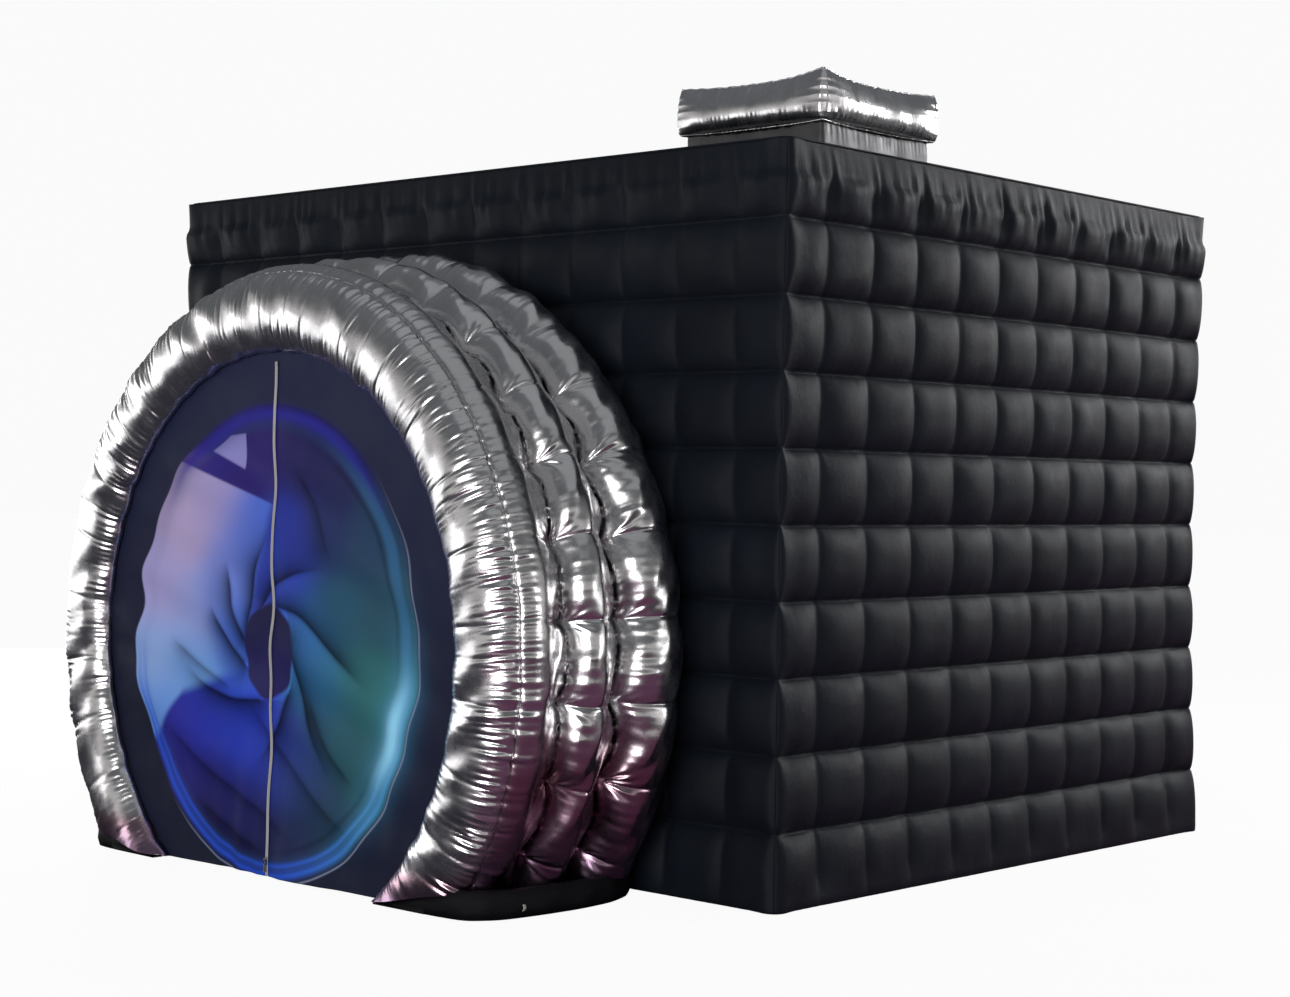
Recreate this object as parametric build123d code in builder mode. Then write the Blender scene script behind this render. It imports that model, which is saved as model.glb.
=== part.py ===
"""Inflatable walk-in photo booth shaped like a camera, millimetres, +Z up.

The cube is the camera's body, the arched tunnel of three silver rings is its lens, and the
cushion on the roof is its viewfinder. The lens faces -Y. The origin is on the ground, at the
centre of the whole footprint. Fabric is drawn thicker than it is sewn, so that it meshes well.
"""

import math
import os

from build123d import *

# Cube: whole cells of one quilting pitch in each direction
cell = 250
body_width = 13 * cell
body_depth = 11 * cell
body_height = 10 * cell
wall = 220
skin = 1
ground_strip = 2

# Lens barrel: three rings around one axis, cut off by the ground
axis_height = 805
opening_radius = 970
groove_radius = 1215
front_ring_width = 235
middle_ring_width = 235
rear_ring_width = 290
face_bulge = 80
front_crest = 1260
middle_crest = 1315
rear_crest = 1352
seam_radius = 1240
seam_setback = 20
ring_fabric = 3
web_fabric = 2
base_height = 70
base_fabric = 2

# Door: a printed curtain with a centre zip and two triangular flaps
curtain_fabric = 2
zip_top = 1745
flap_foot = 520
flap_gap = 4
floor_gap = 8
tape_width = 14
bead_size = 3
bead_gap = 3

# Roof cushion
cushion_side = 700
cushion_centre_x = 600
plinth_height = 235
cushion_height = 185
cushion_fabric = 2

# Blower, let into the rear wall
blower_x = 1125
blower_z = 375
drum_radius = 92
drum_length = 130
drum_wall = 3
flange_radius = 112
flange_depth = 8
screw_radius = 2
screw_hole_radius = screw_radius + 0.2
screw_circle = (drum_radius + flange_radius) / 2 + 1
impeller_radius = 78
impeller_width = 42
shaft_radius = 4
running_gap = 0.05

# Deflation zip and storm flap, also in the rear wall
vent_x = -1000
vent_z = 180
vent_length = 600

# Anchoring
tab_reach = 70
tab_width = 60
tab_fabric = 3
eyelet_radius = 6
eyelet_flange = 0.8
anchor_x = 1400

barrel_length = front_ring_width + middle_ring_width + rear_ring_width
front_reach = body_depth / 2 + barrel_length + face_bulge
rear_reach = body_depth / 2 + tab_reach
body_y = (front_reach - rear_reach) / 2
front_y = body_y - body_depth / 2
rear_y = body_y + body_depth / 2
open_y = front_y - barrel_length
half_width = body_width / 2
room_half_width = half_width - wall
room_depth = body_depth - 2 * wall
room_height = body_height - wall
barrel_axis = Axis((0, 0, axis_height), (0, 1, 0))

os.makedirs("parts", exist_ok=True)


def save(piece, label):
    """Names a finished piece and writes it as its own file."""
    piece.part.label = label
    export_step(piece.part, f"parts/{label}.step")


def block(label, size_x, size_y, size_z, centre, low_z):
    """A plain cut panel: a thin box that stands on low_z."""
    with BuildPart(Plane.XY.offset(low_z)) as panel:
        with Locations(centre):
            Box(size_x, size_y, size_z, align=(Align.CENTER, Align.CENTER, Align.MIN))
    save(panel, label)


def upright(y):
    """The plane at y that is seen from the front, with its local y axis pointing up."""
    return Plane(origin=(0, y, 0), x_dir=(1, 0, 0), z_dir=(0, -1, 0))


def front_skin(label, y, width, low_z, high_z):
    """A front wall panel with the arched tunnel mouth cut out of it."""
    with BuildPart() as panel:
        with BuildSketch(upright(y)):
            with Locations((0, low_z)):
                Rectangle(width, high_z - low_z, align=(Align.CENTER, Align.MIN))
            with Locations((0, axis_height)):
                Circle(opening_radius, mode=Mode.SUBTRACT)
        extrude(amount=-skin)
    save(panel, label)


def mouth_half_width(z):
    """Half the width of the tunnel mouth at height z, or 0 above it."""
    return math.sqrt(max(opening_radius**2 - (z - axis_height) ** 2, 0))


# ---------------------------------------------------------------- ground strips
# Reinforced strips under the walls; the front one stops at both sides of the tunnel mouth
mouth_at_ground = mouth_half_width(0)
front_strip = half_width - mouth_at_ground
front_strip_x = (half_width + mouth_at_ground) / 2
strip_y = body_depth / 2 - wall / 2
with BuildPart() as ground_strips:
    with Locations((-front_strip_x, body_y - strip_y), (front_strip_x, body_y - strip_y)):
        Box(front_strip, wall, ground_strip, align=(Align.CENTER, Align.CENTER, Align.MIN))
    with Locations((0, body_y + strip_y)):
        Box(body_width, wall, ground_strip, align=(Align.CENTER, Align.CENTER, Align.MIN))
    strip_x = half_width - wall / 2
    with Locations((-strip_x, body_y), (strip_x, body_y)):
        side_strip = room_depth - 2 * skin
        Box(wall, side_strip, ground_strip, align=(Align.CENTER, Align.CENTER, Align.MIN))
save(ground_strips, "ground_strips")

# ---------------------------------------------------------------- cube skins
wall_top = body_height - skin
inner_top = room_height - skin
skin_height = wall_top - ground_strip
inner_height = inner_top - ground_strip
front_skin("front_wall_outer_skin", front_y, body_width, ground_strip, wall_top)
front_skin("front_wall_inner_skin", front_y + wall - skin, 2 * room_half_width, ground_strip, inner_top)
rear_inner_y = rear_y - wall + skin / 2
block("rear_wall_inner_skin", 2 * room_half_width, skin, inner_height, (0, rear_inner_y), ground_strip)
for side, name in ((-1, "left"), (1, "right")):
    outer_at = (side * (half_width - skin / 2), body_y)
    inner_at = (side * (room_half_width + skin / 2), body_y)
    outer_length = body_depth - 2 * skin
    block(f"{name}_wall_outer_skin", skin, outer_length, skin_height, outer_at, ground_strip)
    block(f"{name}_wall_inner_skin", skin, room_depth, inner_height, inner_at, ground_strip)
block("roof_outer_skin", body_width, body_depth, skin, (0, body_y), wall_top)
block("ceiling_skin", 2 * room_half_width, room_depth, skin, (0, body_y), inner_top)

# The rear skin has the blower's round port and the slot of the deflation zip in it
vent_slot = 24
with BuildPart() as rear_wall_outer_skin:
    with BuildSketch(upright(rear_y - skin)):
        with Locations((0, ground_strip)):
            Rectangle(body_width, skin_height, align=(Align.CENTER, Align.MIN))
        with Locations((blower_x, blower_z)):
            Circle(drum_radius + 1, mode=Mode.SUBTRACT)
            with PolarLocations(screw_circle, 4, start_angle=45):
                Circle(screw_hole_radius, mode=Mode.SUBTRACT)
        with Locations((vent_x, vent_z)):
            Rectangle(vent_length, vent_slot, mode=Mode.SUBTRACT)
    extrude(amount=-skin)
save(rear_wall_outer_skin, "rear_wall_outer_skin")

# ---------------------------------------------------------------- tie webs
# Horizontal webs between the two skins of each wall pull its surface in at every row
web_depth = wall - 2 * skin
web_levels = [row * cell for row in range(1, 10)]
web_centre = wall / 2
for side, name in ((-1, "left"), (1, "right")):
    with BuildPart() as wall_webs:
        for level in web_levels:
            with Locations((side * (half_width - web_centre), body_y, level)):
                Box(web_depth, room_depth - 2 * skin, skin)
    save(wall_webs, f"{name}_wall_webs")

with BuildPart() as rear_wall_webs:
    for level in web_levels:
        with Locations((0, rear_y - web_centre, level)):
            Box(body_width - 2 * skin, web_depth, skin)
save(rear_wall_webs, "rear_wall_webs")

with BuildPart() as front_wall_webs:
    for level in web_levels:
        mouth = mouth_half_width(level) + ring_fabric
        reach = half_width - skin
        if level > axis_height + opening_radius:
            with Locations((0, front_y + web_centre, level)):
                Box(2 * reach, web_depth, skin)
        else:
            for side in (-1, 1):
                with Locations((side * (reach + mouth) / 2, front_y + web_centre, level)):
                    Box(reach - mouth, web_depth, skin)
save(front_wall_webs, "front_wall_webs")

with BuildPart() as roof_webs:
    for column in range(-5, 6):
        with Locations((column * cell, body_y, room_height)):
            web_rise = wall_top - room_height
            Box(skin, room_depth, web_rise, align=(Align.CENTER, Align.CENTER, Align.MIN))
save(roof_webs, "roof_webs")

# ---------------------------------------------------------------- lens rings
ring_foot = Plane.XY.offset(base_height)


def ring_panel(label, start, crest, end, inward):
    """One bulged panel of a ring, turned about the barrel's axis and cut off above its base."""
    with BuildPart() as panel:
        with BuildSketch(Plane.YZ):
            with BuildLine():
                outer = ThreePointArc(start, crest, end)
                inner = ThreePointArc(*[(y + inward[0], z + inward[1]) for y, z in (start, crest, end)])
                Line(outer @ 0, inner @ 0)
                Line(outer @ 1, inner @ 1)
            make_face()
        revolve(axis=barrel_axis)
        split(bisect_by=ring_foot, keep=Keep.TOP)
    save(panel, label)


def at_radius(y, radius):
    """A point of a ring's profile above the barrel's axis."""
    return (y, axis_height + radius)


seam_y = open_y + seam_setback
first_groove = open_y + front_ring_width
second_groove = first_groove + middle_ring_width
face_radius = (opening_radius + seam_radius) / 2
ring_panel(
    "front_ring_face",
    at_radius(open_y, opening_radius + 2 * ring_fabric),
    at_radius(open_y - face_bulge, face_radius),
    at_radius(seam_y, seam_radius),
    (ring_fabric, 0),
)
ring_panel(
    "front_ring_side",
    at_radius(seam_y + 2 * ring_fabric, seam_radius),
    at_radius((seam_y + first_groove) / 2, front_crest),
    at_radius(first_groove - web_fabric, groove_radius),
    (0, -ring_fabric),
)
ring_panel(
    "middle_ring_panel",
    at_radius(first_groove + web_fabric, groove_radius),
    at_radius((first_groove + second_groove) / 2, middle_crest),
    at_radius(second_groove - web_fabric, groove_radius),
    (0, -ring_fabric),
)
ring_panel(
    "rear_ring_panel",
    at_radius(second_groove + web_fabric, groove_radius),
    at_radius((second_groove + front_y) / 2, rear_crest),
    at_radius(front_y, groove_radius),
    (0, -ring_fabric),
)

# Flat annular webs hold the two grooves in; the liner is the wall of the tunnel
with BuildPart() as ring_webs:
    for groove in (first_groove, second_groove):
        with BuildSketch(upright(groove - web_fabric / 2)):
            with Locations((0, axis_height)):
                Circle(groove_radius)
                Circle(opening_radius + ring_fabric, mode=Mode.SUBTRACT)
        extrude(amount=-web_fabric)
    split(bisect_by=ring_foot, keep=Keep.TOP)
save(ring_webs, "ring_webs")

with BuildPart() as tunnel_liner:
    with BuildSketch(upright(open_y)):
        with Locations((0, axis_height)):
            Circle(opening_radius + ring_fabric)
            Circle(opening_radius, mode=Mode.SUBTRACT)
    extrude(amount=-barrel_length)
    split(bisect_by=Plane.XY.offset(ground_strip), keep=Keep.TOP)
save(tunnel_liner, "tunnel_liner")

# Black trays close the rings below; each is open at the top, where the rings stand in it
liner_face = math.sqrt((opening_radius + ring_fabric) ** 2 - (axis_height - base_height) ** 2)
base_inner = liner_face + base_fabric
base_outer = math.sqrt(middle_crest**2 - (axis_height - base_height) ** 2)
base_width = base_outer - base_inner
base_lip = 2
with BuildPart() as lens_base_trays:
    for side in (-1, 1):
        with Locations((side * (base_outer + base_inner) / 2, (open_y + front_y) / 2)):
            Box(
                base_width,
                barrel_length - 2 * skin,
                base_height - base_lip,
                align=(Align.CENTER, Align.CENTER, Align.MIN),
            )
    tops = lens_base_trays.faces().filter_by(Axis.Z).sort_by(Axis.Z)[-2:]
    offset(amount=-base_fabric, openings=tops)
save(lens_base_trays, "lens_base_trays")

# Webbing loops for tying down, one on the outside of each tray
loop_width = 20
loop_height = 34
loop_reach = 14
loop_webbing = 2
loop_y = open_y + 150
with BuildPart() as base_loops:
    for side in (-1, 1):
        with BuildSketch(Plane.XZ.offset(-loop_y)):
            with Locations((side * (base_outer + loop_reach / 2), base_height / 2)):
                Rectangle(loop_reach, loop_height)
                Rectangle(loop_reach - 2 * loop_webbing, loop_height - 2 * loop_webbing, mode=Mode.SUBTRACT)
        extrude(amount=loop_width / 2, both=True)
save(base_loops, "base_loops")

# ---------------------------------------------------------------- door curtain
curtain_back = open_y + curtain_fabric
fold_slope = flap_foot / zip_top
flap_edge = bead_gap / 2 + bead_size + 1
flap_top = zip_top - flap_edge / fold_slope
fold_gap_x = flap_gap * math.hypot(1, fold_slope)


def fold_x(z):
    """Distance of the fold line from the centre at height z."""
    return (zip_top - z) * fold_slope


for side, name in ((-1, "left"), (1, "right")):
    with BuildPart() as curtain:
        with BuildSketch(upright(curtain_back)):
            with Locations((0, axis_height)):
                Circle(opening_radius - 1)
            with BuildLine():
                Polyline(
                    (0, ground_strip),
                    (side * fold_x(ground_strip), ground_strip),
                    (0, zip_top),
                    (0, 2 * zip_top),
                    (-side * 2 * zip_top, 2 * zip_top),
                    (-side * 2 * zip_top, ground_strip),
                    close=True,
                )
            make_face(mode=Mode.SUBTRACT)
            with Locations((0, ground_strip)):
                Rectangle(4 * zip_top, zip_top, align=(Align.CENTER, Align.MAX), mode=Mode.SUBTRACT)
        extrude(amount=curtain_fabric)
    save(curtain, f"door_curtain_{name}")

    with BuildPart() as flap:
        with BuildSketch(upright(curtain_back)):
            with BuildLine():
                Polyline(
                    (side * flap_edge, floor_gap),
                    (side * (fold_x(floor_gap) - fold_gap_x), floor_gap),
                    (side * flap_edge, flap_top - fold_gap_x / fold_slope),
                    close=True,
                )
            make_face()
        extrude(amount=curtain_fabric)
    save(flap, f"door_flap_{name}")

    # Zip tape with the coil as a square bead along its edge
    tape_top = flap_top - fold_gap_x / fold_slope - tape_width / fold_slope
    bead_x = side * (bead_gap + bead_size) / 2
    bead_y = open_y - bead_size / 2
    tape_x = side * (bead_gap / 2 + bead_size + tape_width / 2)
    with BuildPart() as tape:
        with Locations((tape_x, open_y - skin / 2, floor_gap)):
            Box(tape_width, skin, tape_top - floor_gap, align=(Align.CENTER, Align.CENTER, Align.MIN))
        with Locations((bead_x, bead_y, floor_gap)):
            Box(bead_size, bead_size, tape_top - floor_gap, align=(Align.CENTER, Align.CENTER, Align.MIN))
    save(tape, f"zip_tape_{name}")

# Stop patch sewn over the top of the zip, on the curtain
with BuildPart() as zip_top_stop:
    with BuildSketch(upright(open_y)):
        with Locations((0, zip_top + 15)):
            Rectangle(30, 24)
    extrude(amount=skin)
save(zip_top_stop, "zip_top_stop")

# Slider: two plates joined by a bridge between the beads, with a bail for the pull
slider_width = 14
slider_back_width = 2 * flap_edge - 1
slider_length = 26
slider_plate = 1.4
slider_clearance = 0.4
slider_z = 60
channel = bead_size + 2 * slider_clearance
front_plate_y = bead_y - channel / 2 - slider_plate / 2
back_plate_y = bead_y + channel / 2 + slider_plate / 2
bridge_width = bead_gap - 2 * slider_clearance
bail_radius = 1
bail_height = 4
bail_span = 6
bail_post = 1.6
bail_z = slider_z + 6
bail_y = front_plate_y - slider_plate / 2 - bail_height
with BuildPart() as zip_slider:
    for plate_width, plate_y in ((slider_width, front_plate_y), (slider_back_width, back_plate_y)):
        with Locations((0, plate_y, slider_z)):
            Box(plate_width, slider_plate, slider_length)
    with Locations((0, bead_y, slider_z - slider_length / 2 + 3)):
        Box(bridge_width, channel, 6)
    for side in (-1, 1):
        with Locations((side * (bail_span + bail_post) / 2, bail_y + bail_height / 2 - bail_radius, bail_z)):
            Box(bail_post, bail_height + 2 * bail_radius, 4)
    with Locations(Plane(origin=(0, bail_y, bail_z), x_dir=(0, 1, 0), z_dir=(1, 0, 0))):
        Cylinder(bail_radius, bail_span + bail_post)
save(zip_slider, "zip_slider")

# Pull: a flat tab whose eye turns on the bail's bar
pull_length = 60
pull_width = 12
pull_thickness = 2.2
eye_radius = 2.4
eye_width = bail_span - 2 * slider_clearance
with BuildPart() as zip_pull:
    with BuildSketch(Plane(origin=(0, bail_y, bail_z), x_dir=(0, 1, 0), z_dir=(1, 0, 0))):
        Circle(eye_radius)
        with Locations((0, -8)):
            Rectangle(pull_thickness, 13)
        Circle(bail_radius + running_gap, mode=Mode.SUBTRACT)
    extrude(amount=eye_width / 2, both=True)
    with BuildSketch(upright(bail_y + pull_thickness / 2)):
        with Locations((0, bail_z - 12 - pull_length / 2 + 14)):
            RectangleRounded(pull_width, pull_length - 28, 3)
            with Locations((0, -pull_length / 2 + 22)):
                Circle(2.5, mode=Mode.SUBTRACT)
    extrude(amount=pull_thickness)
save(zip_pull, "zip_pull")

# ---------------------------------------------------------------- roof cushion
cushion_y = body_y
plinth_top = body_height + plinth_height
with BuildPart() as viewfinder_plinth:
    with BuildSketch(Plane.XY.offset(body_height)):
        with Locations((cushion_centre_x, cushion_y)):
            RectangleRounded(cushion_side, cushion_side, 30)
            RectangleRounded(
                cushion_side - 2 * cushion_fabric, cushion_side - 2 * cushion_fabric, 28, mode=Mode.SUBTRACT
            )
    extrude(amount=plinth_height)
save(viewfinder_plinth, "viewfinder_plinth")

with BuildPart() as viewfinder_base_panel:
    with BuildSketch(Plane.XY.offset(plinth_top)):
        with Locations((cushion_centre_x, cushion_y)):
            RectangleRounded(cushion_side, cushion_side, 30)
    extrude(amount=cushion_fabric)
save(viewfinder_base_panel, "viewfinder_base_panel")

with BuildPart() as viewfinder_cushion:
    with BuildSketch(Plane.XY.offset(plinth_top + cushion_fabric)):
        with Locations((cushion_centre_x, cushion_y)):
            RectangleRounded(cushion_side, cushion_side, 30)
    extrude(amount=cushion_height - cushion_fabric)
    offset(amount=-cushion_fabric, openings=viewfinder_cushion.faces().sort_by(Axis.Z)[0])
save(viewfinder_cushion, "viewfinder_cushion")

# ---------------------------------------------------------------- blower
port = Plane(origin=(blower_x, rear_y, blower_z), x_dir=(-1, 0, 0), z_dir=(0, 1, 0))
with BuildPart() as blower_flange:
    with BuildSketch(port):
        Circle(flange_radius)
        Circle(drum_radius, mode=Mode.SUBTRACT)
        with PolarLocations(screw_circle, 4, start_angle=45):
            Circle(screw_hole_radius, mode=Mode.SUBTRACT)
    extrude(amount=flange_depth)
save(blower_flange, "blower_flange")

with BuildPart() as blower_clamp_ring:
    with BuildSketch(port.offset(-skin)):
        Circle(flange_radius)
        Circle(drum_radius + 1, mode=Mode.SUBTRACT)
        with PolarLocations(screw_circle, 4, start_angle=45):
            Circle(screw_hole_radius, mode=Mode.SUBTRACT)
    extrude(amount=-4)
save(blower_clamp_ring, "blower_clamp_ring")

with BuildPart() as blower_screws:
    with BuildSketch(port.offset(flange_depth)):
        with PolarLocations(screw_circle, 4, start_angle=45):
            Circle(2 * screw_radius)
    extrude(amount=2.5)
    with BuildSketch(port.offset(flange_depth)):
        with PolarLocations(screw_circle, 4, start_angle=45):
            Circle(screw_radius)
    extrude(amount=-(flange_depth + skin + 4 + 2))
save(blower_screws, "blower_screws")

# Drum open towards the port, with an outlet window in its upper side
outlet_width = 70
with BuildPart() as blower_housing:
    with BuildSketch(port.offset(flange_depth - 3)):
        Circle(drum_radius)
    extrude(amount=-drum_length)
    offset(amount=-drum_wall, openings=blower_housing.faces().sort_by(Axis.Y)[-1])
    with Locations((blower_x, rear_y - 58, blower_z + drum_radius)):
        Box(outlet_width, 50, 40, mode=Mode.SUBTRACT)
save(blower_housing, "blower_housing")

grille_depth = 2.5
with BuildPart() as blower_intake_grille:
    with BuildSketch(port.offset(flange_depth - 3 - grille_depth)):
        Circle(drum_radius - drum_wall)
        for ring_radius in (28, 40, 52, 64, 76):
            with PolarLocations(ring_radius, 4, start_angle=45):
                SlotCenterToCenter(ring_radius * 0.95, 6, rotation=90, mode=Mode.SUBTRACT)
    extrude(amount=grille_depth)
save(blower_intake_grille, "blower_intake_grille")

motor_radius = 38
motor_length = 52
drum_floor_y = rear_y + flange_depth - 3 - drum_length + drum_wall
motor_front_y = drum_floor_y + motor_length
with BuildPart() as blower_motor:
    with BuildSketch(upright(drum_floor_y)):
        with Locations((blower_x, blower_z)):
            Circle(motor_radius)
            Circle(shaft_radius + running_gap, mode=Mode.SUBTRACT)
    extrude(amount=-motor_length)
save(blower_motor, "blower_motor")

impeller_back_y = motor_front_y + 4
with BuildPart() as blower_shaft:
    with BuildSketch(upright(drum_floor_y + 5)):
        with Locations((blower_x, blower_z)):
            Circle(shaft_radius)
    extrude(amount=-(motor_length + impeller_width - 5))
save(blower_shaft, "blower_shaft")

blade_count = 24
blade_depth = 16
with BuildPart() as blower_impeller:
    with BuildSketch(upright(impeller_back_y)):
        with Locations((blower_x, blower_z)):
            Circle(impeller_radius)
            Circle(shaft_radius, mode=Mode.SUBTRACT)
    extrude(amount=-2)
    with BuildSketch(upright(impeller_back_y)):
        with Locations((blower_x, blower_z)):
            Circle(12)
            Circle(shaft_radius, mode=Mode.SUBTRACT)
            with PolarLocations(impeller_radius - blade_depth / 2, blade_count):
                Rectangle(blade_depth, 1.6, rotation=35)
    extrude(amount=-impeller_width)
save(blower_impeller, "blower_impeller")

# Control block beside the port: rocker switch and power inlet
block_width = 60
block_height = 90
block_depth = 22
block_x = blower_x - flange_radius - 50
rocker_width = 14
rocker_height = 22
rocker_z = blower_z + 22
with BuildPart() as blower_control_box:
    with BuildSketch(Plane(origin=(block_x, rear_y, blower_z), x_dir=(-1, 0, 0), z_dir=(0, 1, 0))):
        RectangleRounded(block_width, block_height, 6)
    extrude(amount=block_depth)
    with Locations((block_x, rear_y + block_depth, rocker_z)):
        Box(rocker_width + 1, 24, rocker_height + 1, mode=Mode.SUBTRACT)
    with Locations((block_x, rear_y + block_depth, blower_z - 22)):
        Box(27, 24, 20, mode=Mode.SUBTRACT)
save(blower_control_box, "blower_control_box")

# The rocker rests tipped to its off side
rocker_pivot_y = rear_y + block_depth - 4
rocker_tilt = math.radians(8)
rocker_plane = Plane(
    origin=(block_x, rocker_pivot_y, rocker_z),
    x_dir=(0, math.cos(rocker_tilt), -math.sin(rocker_tilt)),
    z_dir=(1, 0, 0),
)
with BuildPart() as blower_switch:
    with BuildSketch(rocker_plane):
        with BuildLine():
            Polyline((-4, -5), (-4, 5), (3, 10.5), (5, 10.5), (3.2, 0), (5, -10.5), (3, -10.5), close=True)
        make_face()
    extrude(amount=rocker_width / 2, both=True)
save(blower_switch, "blower_switch")

inlet_pin = 2
with BuildPart() as blower_power_inlet:
    with Locations((block_x, rear_y + block_depth - 10.5, blower_z - 22)):
        Box(26.6, 3, 19.6)
    for pin_x, pin_z in ((-7, -2), (0, 3), (7, -2)):
        with Locations((block_x + pin_x, rear_y + block_depth - 9, blower_z - 22 + pin_z)):
            Box(inlet_pin, 14, 2 * inlet_pin, align=(Align.CENTER, Align.MIN, Align.CENTER))
save(blower_power_inlet, "blower_power_inlet")

# ---------------------------------------------------------------- deflation zip
vent_tape_height = 30
vent_bead = 3
with BuildPart() as vent_zip_tape:
    for side in (-1, 1):
        tape_z = vent_z + side * (vent_tape_height / 4 + 1)
        with Locations((vent_x, rear_y + skin / 2, tape_z)):
            Box(vent_length + 20, skin, vent_tape_height / 2)
        with Locations((vent_x, rear_y + skin + vent_bead / 2, vent_z + side * (vent_bead / 2 + 1.2))):
            Box(vent_length, vent_bead, vent_bead)
save(vent_zip_tape, "vent_zip_tape")

vent_slider_length = 24
vent_slider_x = vent_x - vent_length / 2 + vent_slider_length / 2 + 4
vent_slider_y = rear_y + skin + vent_bead + slider_clearance
with BuildPart() as vent_zip_slider:
    with Locations((vent_slider_x, vent_slider_y, vent_z)):
        Box(vent_slider_length, 2, 14, align=(Align.CENTER, Align.MIN, Align.CENTER))
        Box(vent_slider_length / 2, 5, 4, align=(Align.CENTER, Align.MIN, Align.CENTER))
    with Locations((vent_slider_x, vent_slider_y, vent_z)):
        Box(vent_slider_length, vent_bead, 1.2, align=(Align.CENTER, Align.MAX, Align.CENTER))
save(vent_zip_slider, "vent_zip_slider")

# Storm flap that hangs over the zip from a seam above it
flap_height = 110
flap_top_z = vent_z + 60
flap_stand_off = 12
with BuildPart() as vent_storm_flap:
    with Locations((vent_x, rear_y + flap_stand_off, flap_top_z)):
        Box(vent_length + 80, 2, flap_height, align=(Align.CENTER, Align.MIN, Align.MAX))
save(vent_storm_flap, "vent_storm_flap")

with BuildPart() as vent_flap_binding:
    with Locations((vent_x, rear_y, flap_top_z + 3)):
        Box(vent_length + 80, flap_stand_off + 2, 14, align=(Align.CENTER, Align.MIN, Align.MIN))
save(vent_flap_binding, "vent_flap_binding")

# ---------------------------------------------------------------- anchoring
eyelet_y = rear_y + tab_reach - 28
with BuildPart() as anchor_tabs:
    for side in (-1, 1):
        with BuildSketch(Plane.XY.offset(eyelet_flange)):
            with Locations((side * anchor_x, rear_y)):
                Rectangle(tab_width, tab_reach, align=(Align.CENTER, Align.MIN))
            with Locations((side * anchor_x, eyelet_y)):
                Circle(eyelet_radius + 2, mode=Mode.SUBTRACT)
        extrude(amount=tab_fabric)
save(anchor_tabs, "anchor_tabs")

with BuildPart() as anchor_eyelets:
    for side in (-1, 1):
        with Locations((side * anchor_x, eyelet_y, 0)):
            eyelet_height = tab_fabric + 2 * eyelet_flange
            Cylinder(eyelet_radius + 2, eyelet_height, align=(Align.CENTER, Align.CENTER, Align.MIN))
            Cylinder(eyelet_radius + 7, eyelet_flange, align=(Align.CENTER, Align.CENTER, Align.MIN))
        with Locations((side * anchor_x, eyelet_y, tab_fabric + eyelet_flange)):
            Cylinder(eyelet_radius + 7, eyelet_flange, align=(Align.CENTER, Align.CENTER, Align.MIN))
        with Locations((side * anchor_x, eyelet_y, 0)):
            Cylinder(eyelet_radius, 4 * tab_fabric, mode=Mode.SUBTRACT)
save(anchor_eyelets, "anchor_eyelets")
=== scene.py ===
"""Looks of the inflatable camera-shaped photo booth, around its CAD frame. Metres, +Z up."""
import math

import bmesh
import bpy
import numpy as np
from mathutils import Matrix, Vector


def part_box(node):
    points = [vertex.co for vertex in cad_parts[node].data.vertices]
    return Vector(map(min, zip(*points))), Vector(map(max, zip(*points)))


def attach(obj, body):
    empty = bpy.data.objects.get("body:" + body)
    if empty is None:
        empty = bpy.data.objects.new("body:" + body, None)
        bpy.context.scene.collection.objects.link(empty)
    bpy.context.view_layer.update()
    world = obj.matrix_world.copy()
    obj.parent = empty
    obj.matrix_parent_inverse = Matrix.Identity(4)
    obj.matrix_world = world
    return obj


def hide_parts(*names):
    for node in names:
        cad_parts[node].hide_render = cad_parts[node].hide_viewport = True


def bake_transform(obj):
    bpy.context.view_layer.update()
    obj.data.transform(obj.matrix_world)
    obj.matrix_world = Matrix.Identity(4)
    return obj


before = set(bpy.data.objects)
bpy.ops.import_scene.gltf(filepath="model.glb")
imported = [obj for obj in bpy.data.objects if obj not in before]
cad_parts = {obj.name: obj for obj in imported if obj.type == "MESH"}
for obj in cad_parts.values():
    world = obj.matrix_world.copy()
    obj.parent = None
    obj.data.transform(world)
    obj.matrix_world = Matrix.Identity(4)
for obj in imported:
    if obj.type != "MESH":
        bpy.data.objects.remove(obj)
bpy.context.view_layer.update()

# ------------------------------------------------------------------ sizes, read from the frame
ROWS = 10
front_low, front_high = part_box("front_wall_outer_skin")
rear_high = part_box("rear_wall_outer_skin")[1]
inner_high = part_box("front_wall_inner_skin")[1]
liner_low, liner_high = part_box("tunnel_liner")
half_width = front_high.x
front_y = front_low.y
rear_y = rear_high.y
body_y = (front_y + rear_y) / 2
half_depth = (rear_y - front_y) / 2
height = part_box("roof_outer_skin")[1].z
ground_z = front_low.z
cell = height / ROWS
room_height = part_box("ceiling_skin")[1].z
open_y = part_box("door_curtain_left")[0].y
liner_radius = (liner_high.x - liner_low.x) / 2
axis_z = liner_high.z - liner_radius
opening_radius = liner_radius - 0.003
first_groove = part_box("middle_ring_panel")[0].y
second_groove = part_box("rear_ring_panel")[0].y
zip_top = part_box("zip_top_stop")[0].z - 0.003

# The inflated barrel stands slightly taller than it is wide
barrel_narrow = 0.972
barrel_tall = 1.026

DENSE = 1.0


# ------------------------------------------------------------------ mesh helpers
def make_object(name, points, faces, smooth=True):
    """A mesh object from points and faces, shaded smooth unless told not to."""
    mesh = bpy.data.meshes.new(name)
    mesh.from_pydata([tuple(p) for p in points], [], [tuple(f) for f in faces])
    mesh.update()
    mesh.polygons.foreach_set("use_smooth", [smooth] * len(mesh.polygons))
    obj = bpy.data.objects.new(name, mesh)
    bpy.context.scene.collection.objects.link(obj)
    return obj


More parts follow.
